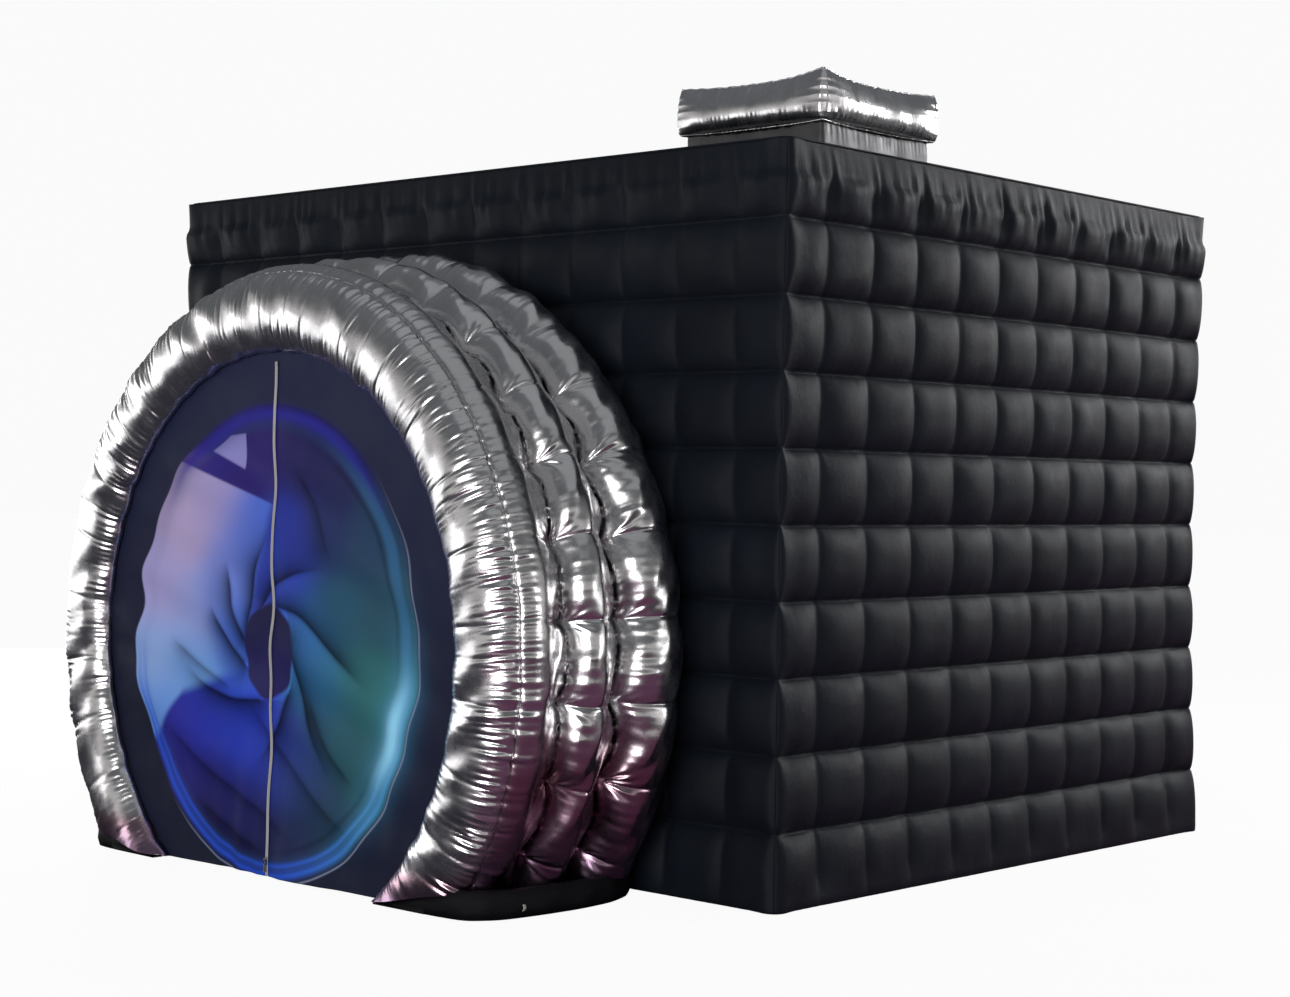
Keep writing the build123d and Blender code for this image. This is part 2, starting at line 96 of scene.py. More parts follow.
def grid_faces(rows, columns, first=0, keep=None, flip=False):
    """Quads of a grid of rows by columns points, numbered row by row."""
    index = first + np.arange(rows * columns).reshape(rows, columns)
    corners = [index[:-1, :-1], index[:-1, 1:], index[1:, 1:], index[1:, :-1]]
    if flip:
        corners.reverse()
    faces = np.stack(corners, -1).reshape(-1, 4)
    if keep is not None:
        faces = faces[keep.reshape(-1)]
    return faces


def grid_object(name, grid, flip=False, keep=None):
    """A sheet from a grid of points, rows x columns x 3. Points that no face uses are dropped."""
    rows, columns = grid.shape[:2]
    points = grid.reshape(-1, 3)
    faces = grid_faces(rows, columns, keep=keep, flip=flip)
    if keep is not None:
        used, faces = np.unique(faces, return_inverse=True)
        points = points[used]
        faces = faces.reshape(-1, 4)
    return make_object(name, points, faces)


def finish_piece(obj, body, slot, *nodes):
    """Puts a piece on its body and hides the CAD nodes that it stands for; slot is not used."""
    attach(obj, body)
    if nodes:
        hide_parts(*nodes)
    return obj


def paint(obj, material):
    """Gives an object one material in place of what it had."""
    obj.data.materials.clear()
    obj.data.materials.append(material)


def thicken(obj, thickness, offset=-1.0):
    """Gives a sheet its cloth's thickness: -1 puts it behind the sheet, 1 before, 0 on both sides."""
    solid = obj.modifiers.new("cloth", "SOLIDIFY")
    solid.thickness = thickness
    solid.offset = offset


def dress(obj, material, thickness, body, slot, *nodes, offset=-1.0):
    """Paints a sheet, gives it its cloth's thickness and puts it on its body."""
    paint(obj, material)
    thicken(obj, thickness, offset)
    return finish_piece(obj, body, slot, *nodes)


def clustered(cells, per_cell):
    """Places from 0 to cells, in cell units, closer together near each seam."""
    step = np.arange(per_cell) / per_cell
    inside = (1 - np.cos(np.pi * step)) / 2
    mixed = 0.55 * inside + 0.45 * step
    return np.append((np.arange(cells)[:, None] + mixed[None, :]).reshape(-1), cells)


def ripple(x, wavelength, waves=9, seed=0):
    """Uneven waves of about one wavelength along x, from -1 to 1."""
    draw = np.random.default_rng(seed)
    total = np.zeros_like(x, dtype=float)
    for _ in range(waves):
        length = wavelength * draw.uniform(0.6, 1.7)
        total += np.sin(2 * np.pi * x / length + draw.uniform(0, 2 * np.pi))
    return total / math.sqrt(waves)


def smooth_step(x, low, high):
    """0 below low, 1 above high and an even curve between them."""
    t = np.clip((x - low) / (high - low), 0, 1)
    return t * t * (3 - 2 * t)


# ------------------------------------------------------------------ materials
def new_material(name):
    """An empty node material and its shader."""
    material = bpy.data.materials.new(name)
    material.use_nodes = True
    shader = material.node_tree.nodes["Principled BSDF"]
    return material, material.node_tree, shader


def add_node(tree, kind, **settings):
    """A node with its own settings or, by their names, its inputs' values."""
    node = tree.nodes.new(kind)
    for key, value in settings.items():
        if key in node.bl_rna.properties:
            setattr(node, key, value)
        else:
            node.inputs[key.replace("_", " ")].default_value = value
    return node


def noise(tree, scale, detail=4.0, roughness=0.55):
    """Noise in the object's own space."""
    place = tree.nodes.new("ShaderNodeTexCoord")
    texture = add_node(tree, "ShaderNodeTexNoise", Scale=scale, Detail=detail, Roughness=roughness)
    tree.links.new(place.outputs["Object"], texture.inputs["Vector"])
    return texture


def ramp(tree, source, stops):
    """A colour ramp fed by source; stops are (place, colour)."""
    node = tree.nodes.new("ShaderNodeValToRGB")
    elements = node.color_ramp.elements
    while len(elements) < len(stops):
        elements.new(0.5)
    for element, (place, colour) in zip(elements, stops):
        element.position = place
        element.color = (*colour, 1.0) if len(colour) == 3 else colour
    tree.links.new(source, node.inputs["Fac"])
    return node


def grey(value):
    """A neutral colour."""
    return (value,) * 3


def vary_roughness(tree, shader, scale, detail, low, high, places=(0.3, 0.7)):
    """Roughness that wanders between low and high over the surface."""
    cloud = noise(tree, scale, detail)
    rough = ramp(tree, cloud.outputs["Fac"], [(places[0], grey(low)), (places[1], grey(high))])
    tree.links.new(rough.outputs["Color"], shader.inputs["Roughness"])


def multiply(tree, first, second, socket):
    """Links the product of two nodes' colours to a socket."""
    mixed = add_node(tree, "ShaderNodeMix", data_type="RGBA", blend_type="MULTIPLY")
    mixed.inputs[0].default_value = 1.0
    tree.links.new(first.outputs["Color"], mixed.inputs[6])
    tree.links.new(second.outputs["Color"], mixed.inputs[7])
    tree.links.new(mixed.outputs[2], socket)


def along_axis(tree, space, axis, low, high):
    """A coordinate as a share: 0 at low, 1 at high."""
    place = tree.nodes.new("ShaderNodeTexCoord")
    parts = tree.nodes.new("ShaderNodeSeparateXYZ")
    tree.links.new(place.outputs[space], parts.inputs["Vector"])
    share = add_node(tree, "ShaderNodeMapRange")
    share.inputs["From Min"].default_value = low
    share.inputs["From Max"].default_value = high
    tree.links.new(parts.outputs[axis], share.inputs["Value"])
    return share.outputs["Result"]


def show_camera(tree, other_shader, camera_shader, output):
    """Shows one shader to the camera and another one to every other ray."""
    path = tree.nodes.new("ShaderNodeLightPath")
    choice = tree.nodes.new("ShaderNodeMixShader")
    tree.links.new(path.outputs["Is Camera Ray"], choice.inputs["Fac"])
    tree.links.new(other_shader, choice.inputs[1])
    tree.links.new(camera_shader, choice.inputs[2])
    tree.links.new(choice.outputs["Shader"], tree.nodes[output].inputs["Surface"])


def weave_height(tree, pitch):
    """Height of a plain weave of the given thread pitch, from waves along the three axes."""
    place = tree.nodes.new("ShaderNodeTexCoord")
    waves = []
    for axis in ("X", "Y", "Z"):
        wave = add_node(tree, "ShaderNodeTexWave", wave_type="BANDS", bands_direction=axis, Distortion=0.3)
        wave.inputs["Scale"].default_value = 1 / (pitch * 2 * math.pi) * 2
        tree.links.new(place.outputs["Object"], wave.inputs["Vector"])
        waves.append(wave)
    total = waves[0].outputs["Fac"]
    for wave in waves[1:]:
        both = add_node(tree, "ShaderNodeMath", operation="ADD")
        tree.links.new(total, both.inputs[0])
        tree.links.new(wave.outputs["Fac"], both.inputs[1])
        total = both.outputs[0]
    return total


def add_bump(tree, shader, heights):
    """Chains bumps onto the shader; heights are (output, strength, distance)."""
    last = None
    for output, strength, distance in heights:
        bump = add_node(tree, "ShaderNodeBump", Strength=strength, Distance=distance)
        tree.links.new(output, bump.inputs["Height"])
        if last is not None:
            tree.links.new(last.outputs["Normal"], bump.inputs["Normal"])
        last = bump
    tree.links.new(last.outputs["Normal"], shader.inputs["Normal"])


def cloth_material(name, dark, light, roughness=0.62, sheen=0.35, pitch=0.0016):
    """Coated Oxford cloth: cloudy colour, basket weave, small creases and a little sheen."""
    material, tree, shader = new_material(name)
    cloud = noise(tree, 2.3, 5.0)
    colour = ramp(tree, cloud.outputs["Fac"], [(0.3, dark), (0.72, light)])
    tree.links.new(colour.outputs["Color"], shader.inputs["Base Color"])
    vary_roughness(tree, shader, 9.0, 3.0, roughness - 0.07, roughness + 0.07)
    shader.inputs["Sheen Weight"].default_value = sheen
    shader.inputs["Sheen Roughness"].default_value = 0.45
    shader.inputs["Specular IOR Level"].default_value = 0.16
    creases = noise(tree, 11.0, 6.0, 0.6)
    weave = weave_height(tree, pitch)
    add_bump(tree, shader, [(creases.outputs["Fac"], 0.25, 0.012), (weave, 0.25, 0.0006)])
    return material


# Painted reflection: the violet of the floor painted into the foil's colour, from the ground up
PAINTED_FLOOR_REFLECTION_TONES = [(0.0, (0.50, 0.34, 0.52)), (0.7, (0.66, 0.46, 0.52)), (1.0, (1, 1, 1))]


def foil_material(name, colour, roughness, painted_reflection_height):
    """Silver laminated cloth: bright metal film with fine crinkles, and a painted reflection of
    the floor's violet in its colour below the height it is given."""
    material, tree, shader = new_material(name)
    cloud = noise(tree, 3.0, 4.0)
    tint = ramp(tree, cloud.outputs["Fac"], [(0.3, tuple(c * 0.88 for c in colour)), (0.7, colour)])
    # painted reflection: the floor's violet multiplied into the base colour, by height
    painted_reflection = ramp(tree, along_axis(tree, "Object", "Z", 0.0, max(painted_reflection_height, 0.01)), PAINTED_FLOOR_REFLECTION_TONES)
    multiply(tree, tint, painted_reflection, shader.inputs["Base Color"])
    shader.inputs["Metallic"].default_value = 1.0
    vary_roughness(tree, shader, 14.0, 5.0, roughness - 0.07, roughness + 0.10, (0.3, 0.72))
    broad = noise(tree, 7.0, 4.0, 0.5)
    fine = noise(tree, 60.0, 5.0, 0.6)
    add_bump(tree, shader, [(broad.outputs["Fac"], 0.16, 0.012), (fine.outputs["Fac"], 0.10, 0.002)])
    return material


def moulded_material(name, colour, roughness, metallic=0.0, grain=240.0):
    """Moulded plastic or plated metal with a fine surface grain."""
    material, tree, shader = new_material(name)
    speck = noise(tree, grain, 3.0)
    tint = ramp(tree, speck.outputs["Fac"], [(0.35, tuple(c * 0.85 for c in colour)), (0.65, colour)])
    tree.links.new(tint.outputs["Color"], shader.inputs["Base Color"])
    shader.inputs["Metallic"].default_value = metallic
    vary_roughness(tree, shader, 30.0, 3.0, roughness - 0.06, roughness + 0.06)
    add_bump(tree, shader, [(speck.outputs["Fac"], 0.2, 0.0004)])
    return material


def print_material(name, attribute):
    """Printed polyester: the print is in the mesh's colour attribute, under a fine weave."""
    material, tree, shader = new_material(name)
    colour = add_node(tree, "ShaderNodeAttribute", attribute_name=attribute)
    speck = noise(tree, 420.0, 2.0)
    shade = ramp(tree, speck.outputs["Fac"], [(0.3, grey(0.9)), (0.7, grey(1.0))])
    multiply(tree, colour, shade, shader.inputs["Base Color"])
    vary_roughness(tree, shader, 8.0, 3.0, 0.42, 0.55)
    shader.inputs["Specular IOR Level"].default_value = 0.06
    creases = noise(tree, 9.0, 5.0)
    weave = weave_height(tree, 0.0012)
    add_bump(tree, shader, [(creases.outputs["Fac"], 0.12, 0.01), (weave, 0.2, 0.0004)])
    return material


black_oxford = cloth_material("black_oxford", (0.0056, 0.0082, 0.0132), (0.0094, 0.0137, 0.0217), 0.5, 0.02)
black_lining = cloth_material("black_lining", (0.010, 0.010, 0.012), (0.020, 0.020, 0.024), 0.7, 0.02)
base_cloth = cloth_material("base_cloth", (0.004, 0.004, 0.006), (0.008, 0.008, 0.010), 0.6, 0.0)
# silver_foil and face_foil carry the painted floor reflection low down
silver_foil = foil_material("silver_foil", (0.80, 0.79, 0.80), 0.24, 0.62)
face_foil = foil_material("face_foil", (0.84, 0.83, 0.84), 0.24, 0.16)
plinth_foil = foil_material("plinth_foil", (0.15, 0.15, 0.155), 0.50, 0.0)
ground_pvc = cloth_material("ground_pvc", (0.010, 0.010, 0.011), (0.018, 0.018, 0.019), 0.4, 0.0)
lens_print = print_material("lens_print", "lens_colour")
pale_tape = cloth_material("pale_tape", (0.50, 0.49, 0.48), (0.66, 0.65, 0.64), 0.7, 0.05, 0.0012)
black_tape = cloth_material("black_tape", (0.010, 0.010, 0.014), (0.020, 0.020, 0.026), 0.7, 0.02, 0.0012)
pale_webbing = cloth_material("pale_webbing", (0.45, 0.44, 0.40), (0.62, 0.60, 0.55), 0.75, 0.2, 0.002)
plated_zinc = moulded_material("plated_zinc", (0.58, 0.58, 0.58), 0.28, 1.0)
black_plastic = moulded_material("black_plastic", (0.022, 0.022, 0.024), 0.45)
grey_plastic = moulded_material("grey_plastic", (0.20, 0.20, 0.21), 0.45)
red_plastic = moulded_material("red_plastic", (0.45, 0.015, 0.015), 0.25)
turned_steel = moulded_material("turned_steel", (0.50, 0.50, 0.51), 0.32, 1.0)


def paint_node(node, material):
    """Gives every slot of a CAD node the material."""
    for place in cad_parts[node].material_slots:
        place.material = material


# ------------------------------------------------------------------ quilted walls
# Thickness of the cloths
OUTER_CLOTH = 0.0015
LINING_CLOTH = 0.001
WEB_CLOTH = 0.0008
FOIL_CLOTH = 0.002
PRINT_CLOTH = 0.0012

ROW_SINK = 0.050
COLUMN_SINK = 0.024
CORNER_RADIUS = 0.07
EDGE_BOW = 0.040


def bulge(fraction, power, lift):
    """How full a pillow is across a cell: 0 at its seams, 1 at its middle."""
    s = np.abs(2 * fraction - 1)
    return np.clip(1 - s**power, 0, 1) ** lift


def quilt_depth(across, up, columns, row_sink, column_sink, seed):
    """Depth of the skin behind its envelope; across and up are in cells."""
    near_side = np.minimum(across, columns - across)
    at_corner = smooth_step(near_side, 0.0, 0.55)
    row_full = bulge(up % 1.0, 2.3, 0.60)
    column_full = np.where(near_side < 0.5, 1.0, bulge(across % 1.0, 2.6, 0.9))
    seam_gather = np.exp(-np.minimum(up % 1.0, 1 - up % 1.0) / 0.12)
    depth = row_sink * (1 - row_full) * (0.25 + 0.75 * at_corner)
    depth += column_sink * (1 - column_full) * (0.15 + 0.85 * row_full)
    depth += 0.0016 * ripple(across, 0.13, seed=seed) * seam_gather * at_corner
    depth += 0.004 * ripple(across + 3.1 * np.floor(up), 1.4, seed=seed + 1) * row_full * at_corner
    return depth


def edge_softening(depth, up, across, columns, seed):
    """The top row leans in to the roof seam in gathers; the bottom row barely curls under."""
    near_side = np.minimum(across, columns - across)
    at_corner = smooth_step(near_side, 0.0, 0.6)
    above = smooth_step(up, 9.45, 9.62)
    depth = depth * (1 - above) + 0.016 * above
    lean = np.clip((up - 9.5) / 0.5, 0, 1)
    depth += 0.020 * lean**1.5 * at_corner
    gather = np.exp(-((up - 9.55) / 0.30) ** 2) * at_corner
    depth += 0.0045 * ripple(across + 0.15 * up, 0.24, seed=seed + 5) * gather
    pocket = np.exp(-((up - 9.28) / 0.16) ** 2) * at_corner
    depth += 0.007 * pocket * (0.5 + 0.5 * np.cos(2 * np.pi * across))
    below = 1 - smooth_step(up, 0.05, 0.45)
    return depth * (1 - 0.6 * below)


def flatten(depth, points_u, points_z, patches):
    """Keeps the skin flat at the things that are fastened to it; patches are (u, z, half, half)."""
    for centre_u, centre_z, half_u, half_z in patches:
        beside = np.maximum(np.abs(points_u - centre_u) - half_u, 0)
        above = np.maximum(np.abs(points_z - centre_z) - half_z, 0)
        away = np.hypot(beside, above)
        depth = depth * smooth_step(away, 0.012, 0.10)
    return depth


def outer_wall(name, start, along, outward, width, columns, seed, hole=None, patches=()):
    """One outer wall: quilted, with rounded upright corners and edges that bow in between the
    floor and the roof. start is its lower left corner on the ground, seen from outside."""
    rows_up = clustered(ROWS, int(20 * DENSE))
    across = clustered(columns, int(18 * DENSE))
    arc = CORNER_RADIUS * math.pi / 4
    path_length = width - 2 * CORNER_RADIUS + 2 * arc
    s = across / columns * path_length
    left_angle = np.clip(1 - s / arc, 0, 1) * math.pi / 4
    right_angle = np.clip(1 - (path_length - s) / arc, 0, 1) * math.pi / 4
    angle = right_angle - left_angle
    straight = np.clip(s - arc, 0, width - 2 * CORNER_RADIUS)
    u = CORNER_RADIUS + straight + CORNER_RADIUS * np.sin(angle)
    inset = CORNER_RADIUS * (1 - np.cos(angle))
    up, side = np.meshgrid(rows_up, np.arange(len(s)), indexing="ij")
    cells = (u / width * columns)[side]
    z = ground_z + up * cell * (height - 0.008 - ground_z) / height
    depth = quilt_depth(cells, up, columns, ROW_SINK, COLUMN_SINK, seed)
    depth = edge_softening(depth, up, cells, columns, seed)
    near = np.minimum(u[side], width - u[side])
    bow = np.sin(np.pi * np.clip(up / ROWS, 0, 1)) ** 0.8
    depth += EDGE_BOW * bow * (0.35 + 0.65 * np.exp(-near / 0.35))
    depth = flatten(depth, u[side], z, patches)
    out = np.array(outward, float)
    ahead = np.array(along, float)
    lean = np.cos(angle)[side][..., None] * out + np.sin(angle)[side][..., None] * ahead
    points = np.array(start, float) + u[side][..., None] * ahead - inset[side][..., None] * out
    points = points - depth[..., None] * lean
    points[..., 2] = z
    keep = None
    if hole is not None:
        points, keep = hole(points)
    piece = grid_object(name, points, keep=keep)
    paint(piece, black_oxford)
    thicken(piece, OUTER_CLOTH)
    return piece, points, up


def inner_wall(name, start, along, outward, width, columns, seed, hole=None):
    """A room wall, quilted like the outer one. outward points away from the room."""
    rows_up = np.unique(np.minimum(clustered(ROWS, int(12 * DENSE)), room_height / cell))
    across = clustered(columns, int(10 * DENSE))
    up, cells = np.meshgrid(rows_up, across, indexing="ij")
    depth = quilt_depth(cells, up, columns, 0.034, 0.014, seed)
    points = np.array(start, float) + (cells / columns * width)[..., None] * np.array(along, float)
    points = points + depth[..., None] * np.array(outward, float)
    points[..., 2] = ground_z + up * cell * (room_height - ground_z) / room_height
    keep = None
    if hole is not None:
        points, keep = hole(points)
    piece = grid_object(name, points, keep=keep, flip=True)
    paint(piece, black_lining)
    thicken(piece, LINING_CLOTH)
    return piece, points, up


def round_hole(centre_x, centre_z, mouth_x, mouth_z, step):
    """Leaves out the faces inside an ellipse and draws the edge onto it."""

    def cut(points):
        x = (points[..., 0] - centre_x) / mouth_x
        z = (points[..., 2] - centre_z) / mouth_z
        radius = np.hypot(x, z)
        scale = np.where((radius < 1) & (radius > 1 - step), 1 / np.maximum(radius, 1e-6), 1.0)
        points = points.copy()
        points[..., 0] = centre_x + (points[..., 0] - centre_x) * scale
        points[..., 2] = np.maximum(centre_z + (points[..., 2] - centre_z) * scale, ground_z)
        out = radius > 1 - step
        return points, out[:-1, :-1] & out[:-1, 1:] & out[1:, 1:] & out[1:, :-1]

    return cut


def resampled(path, count):
    """A path of points at equal steps of its index."""
    place = np.linspace(0, len(path) - 1, count)
    return np.stack([np.interp(place, np.arange(len(path)), path[:, i]) for i in range(3)], -1)


WEB_POINTS = 60


def tie_webs(name, outer, outer_up, inner, inner_up, outside=None):
    """The nine level webs of one wall, from each outer row seam to the inner one."""
    points, faces = [], []
    for row in range(1, ROWS):
        far = resampled(outer[np.argmin(np.abs(outer_up[:, 0] - row))], WEB_POINTS)
        near = resampled(inner[np.argmin(np.abs(inner_up[:, 0] - row))], WEB_POINTS)
        far = far + 0.02 * (near - far)
        strip = np.stack([far, 0.5 * (far + near), near])
        keep = None
        if outside is not None:
            clear = outside(strip)
            keep = clear[:-1, :-1] & clear[:-1, 1:] & clear[1:, 1:] & clear[1:, :-1]
        faces.extend(grid_faces(3, WEB_POINTS, len(points), keep))
        points.extend(strip.reshape(-1, 3))
    piece = make_object(name, points, faces)
    paint(piece, black_lining)
    thicken(piece, WEB_CLOTH)
    return piece


mouth = opening_radius + 0.02
tunnel_hole = round_hole(0, axis_z, mouth * barrel_narrow, mouth * barrel_tall, 0.02)
blower_low, blower_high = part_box("blower_flange")
blower_centre = (blower_low + blower_high) / 2
box_low, box_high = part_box("blower_control_box")
vent_low, vent_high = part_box("vent_zip_tape")
binding_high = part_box("vent_flap_binding")[1]
port_hole = round_hole(blower_centre.x, blower_centre.z, 0.094, 0.094, 0.22)
rear_patches = [
    (half_width - blower_centre.x, blower_centre.z, 0.09, 0.09),
    (half_width - (box_low.x + box_high.x) / 2, (box_low.z + box_high.z) / 2, 0.03, 0.045),
    (half_width - (vent_low.x + vent_high.x) / 2, (vent_low.z + binding_high.z) / 2, 0.345, 0.06),
]
room_x = inner_high.x
room_front = inner_high.y
room_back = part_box("rear_wall_inner_skin")[0].y


def clear_of_tunnel(strip):
    """True for points outside the tunnel's mouth."""
    return np.hypot(strip[..., 0] / barrel_narrow, (strip[..., 2] - axis_z) / barrel_tall) > mouth


def build_wall(side, start, along, outward, width, columns, room_start, room_width, seed,
               hole=None, inner_hole=None, outside=None, patches=()):
    """Both skins of one wall and the webs between them."""
    skin, outer, outer_up = outer_wall(
        f"{side}_wall_quilt", start, along, outward, width, columns, seed, hole, patches
    )
    finish_piece(skin, "booth", "black_oxford", f"{side}_wall_outer_skin")
    lining, inner, inner_up = inner_wall(
        f"{side}_room_quilt", room_start, along, outward, room_width, columns - 2, seed + 3, inner_hole
    )
    finish_piece(lining, "booth", "black_lining", f"{side}_wall_inner_skin")
    webs = tie_webs(f"{side}_wall_ties", outer, outer_up, inner, inner_up, outside)
    finish_piece(webs, "booth", "web_fabric", f"{side}_wall_webs")


build_wall("front", (-half_width, front_y, 0), (1, 0, 0), (0, -1, 0), 2 * half_width, 13,
           (-room_x, room_front, 0), 2 * room_x, 11, tunnel_hole, tunnel_hole, clear_of_tunnel)
build_wall("right", (half_width, front_y, 0), (0, 1, 0), (1, 0, 0), 2 * half_depth, 11,
           (room_x, room_front, 0), room_back - room_front, 22)
build_wall("rear", (half_width, rear_y, 0), (-1, 0, 0), (0, 1, 0), 2 * half_width, 13,
           (room_x, room_back, 0), 2 * room_x, 33, hole=port_hole, patches=rear_patches)
build_wall("left", (-half_width, rear_y, 0), (0, -1, 0), (-1, 0, 0), 2 * half_depth, 11,
           (-room_x, room_back, 0), room_back - room_front, 44)


def rounded_corner(x, y, half_x, half_y, radius):
    """Draws the points of a rectangle in to its rounded corners."""
    over_x = np.maximum(np.abs(x) - (half_x - radius), 0)
    over_y = np.maximum(np.abs(y) - (half_y - radius), 0)
    reach = np.maximum(np.hypot(over_x, over_y), 1e-9)
    scale = np.minimum(1, radius / reach)
    x = np.sign(x) * (np.abs(x) - over_x * (1 - scale))
    y = np.sign(y) * (np.abs(y) - over_y * (1 - scale))
    return x, y


def roof_sheet(name, half_x, half_y, columns_x, columns_y, level, sink, direction, per_cell, corner):
    """A level quilted panel; direction is 1 where its pillows stand up, -1 where they hang."""
    v, u = np.meshgrid(clustered(columns_y, per_cell), clustered(columns_x, per_cell), indexing="ij")
    x, y = (u / columns_x * 2 - 1) * half_x, (v / columns_y * 2 - 1) * half_y
    if corner:
        x, y = rounded_corner(x, y, half_x, half_y, corner)
    full = bulge(u % 1.0, 2.3, 0.6)
    cross = bulge(v % 1.0, 2.6, 0.9)
    depth = sink * (1 - full) + 0.4 * sink * (1 - cross) * full
    edge = np.minimum(np.minimum(u, columns_x - u), np.minimum(v, columns_y - v))
    depth = depth * smooth_step(edge, 0, 0.5)
    points = np.stack([x, y + body_y, level - direction * depth], -1)
    return grid_object(name, points, flip=direction < 0), points


roof, roof_points = roof_sheet(
    "roof_quilt", half_width - 0.036, half_depth - 0.036, 13, 11, height - 0.008, 0.045, 1,
    int(14 * DENSE), 0.04
)
dress(roof, black_oxford, OUTER_CLOTH, "booth", "black_oxford", "roof_outer_skin")
room_half = (room_back - room_front) / 2
ceiling, _ = roof_sheet(
    "ceiling_quilt", room_x, room_half, 11, 9, room_height - 0.001, 0.03, -1, int(10 * DENSE), 0
)
dress(ceiling, black_lining, LINING_CLOTH, "booth", "black_lining", "ceiling_skin")


def roof_ties():
    """Webs from each roof seam down to the ceiling."""
    web_low, web_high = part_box("roof_webs")
    points, faces = [], []
    for place in np.linspace(web_low.x + 0.0005, web_high.x - 0.0005, 11):
        y = np.linspace(web_low.y, web_high.y, 30)
        strip = [[(place, back, z) for back in y] for z in (web_low.z + 0.028, web_high.z - 0.055)]
        faces.extend(grid_faces(2, 30, len(points)))
        points.extend(np.array(strip).reshape(-1, 3))
    return make_object("roof_ties", points, faces)


ties = roof_ties()
dress(ties, black_lining, WEB_CLOTH, "booth", "web_fabric", "roof_webs")


def piping(name, path, radius, material, slot, closed=False):
    """A thin sewn welt along a path of points."""
    curve = bpy.data.curves.new(name, "CURVE")
    curve.dimensions = "3D"
    spline = curve.splines.new("POLY")
    spline.points.add(len(path) - 1)
    spline.points.foreach_set("co", np.c_[path, np.ones(len(path))].reshape(-1))
    spline.use_cyclic_u = closed
    curve.bevel_depth = radius
    curve.bevel_resolution = 2
    obj = bpy.data.objects.new(name, curve)
    bpy.context.scene.collection.objects.link(obj)
    obj.data.materials.append(material)
    return finish_piece(obj, "booth", slot)


roof_rim = np.concatenate(
    [roof_points[0], roof_points[1:, -1], roof_points[-1, -2::-1], roof_points[-2:0:-1, 0]]
)
above_roof = np.array([0, 0, 0.001])
piping("roof_seam_welt", roof_rim + above_roof, 0.004, black_oxford, "black_oxford", True)


def ground_frame():
    """The PVC strips that the walls stand on: a flat frame just inside their feet."""
    low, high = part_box("ground_strips")
    turns = 200
    share = np.linspace(0, 1, turns, endpoint=False)
    rows = []
    outer_edge = (half_width - 0.045, half_depth - 0.045, 0.05)
    inner_edge = (room_x - 0.01, half_depth - 0.23, 0.01)
    for half_x, half_y, corner in (outer_edge, inner_edge):
        t = share * 8
        x = np.clip(np.where(t < 2, t - 1, np.where(t < 4, 1, np.where(t < 6, 5 - t, -1))), -1, 1) * half_x
        y = np.clip(np.where(t < 2, -1, np.where(t < 4, t - 3, np.where(t < 6, 1, 7 - t))), -1, 1) * half_y
        x, y = rounded_corner(x, y, half_x, half_y, corner)
        rows.append(np.stack([x, y + body_y, 0 * x + high.z], -1))
    grid = np.stack([rows[0], 0.5 * (rows[0] + rows[1]), rows[1]])
    grid = np.concatenate([grid, grid[:, :1]], 1)
    middle = np.abs(grid[..., 0]) > 0.93
    back = grid[..., 1] > front_y + 0.5
    sheet = middle | back
    keep = sheet[:-1, :-1] & sheet[1:, 1:]
    piece = grid_object("ground_frame", grid, keep=keep)
    paint(piece, ground_pvc)
    thicken(piece, high.z - low.z)
    return finish_piece(piece, "booth", "ground_pvc", "ground_strips")


ground_frame()


# ------------------------------------------------------------------ lens rings
PINCHES = 30
PINCH_TURN = 2 * math.pi / PINCHES


def foot_height(x):
    """Height at which the silver stops above the ground: it rises outward from the doorway."""
    return 0.006 + 0.066 * smooth_step(np.abs(x), 0.56, 0.98)


def barrel_grid(y, radius, turn):
    """Points of the barrel; turn is from straight up, positive to +X."""
    x = barrel_narrow * radius * np.sin(turn)
    z = axis_z + barrel_tall * radius * np.cos(turn)
    z = np.maximum(z, foot_height(x) - 0.004)
    return np.stack([x, y, z], -1)


def end_turn(radius):
    """The turn at which a circle of the barrel reaches its foot."""
    turn = np.full_like(radius, math.pi * 0.72)
    for _ in range(12):
        foot = foot_height(barrel_narrow * radius * np.sin(turn))
        turn = np.arccos(np.clip((foot - axis_z) / (barrel_tall * radius), -1, 1))
    return turn


def pinch(turn, power=3.0):
    """1 on each pinch seam, falling to 0 between two of them."""
    return np.abs(2 * ((turn / PINCH_TURN) % 1.0) - 1) ** power


def creased(x, wavelength, waves, seed):
    """Waves with narrow valleys and round crests, as gathered cloth has."""
    wave = ripple(x, wavelength, waves, seed)
    return 0.8 - 1.9 * np.abs(ripple(x, wavelength * 2, waves, seed + 500)) ** 0.8 + 0.35 * wave


def seam_shift(turn, seam):
    """How a sewn seam of the barrel wanders: (along Y, outward)."""
    if seam == "mouth":
        return 0 * turn, 0.003 * ripple(turn, 0.10, seed=10)
    if seam == "face":
        outward = -0.0012 * pinch(turn, 6) + 0.0015 * ripple(turn, 0.03, 12, seed=13)
        return 0.002 * ripple(turn, 0.2, seed=12), outward
    if seam == "wall":
        return 0 * turn, -0.02 * pinch(turn)
    seed = {"first": 20, "second": 30}[seam]
    pulled = pinch(turn, 2.2)
    sideways = 0.010 * ripple(turn, 0.30, seed=seed) + 0.012 * (0.5 - pulled)
    return sideways, -0.030 * pulled + 0.012 + 0.002 * ripple(turn, 0.04, 12, seed=seed + 1)


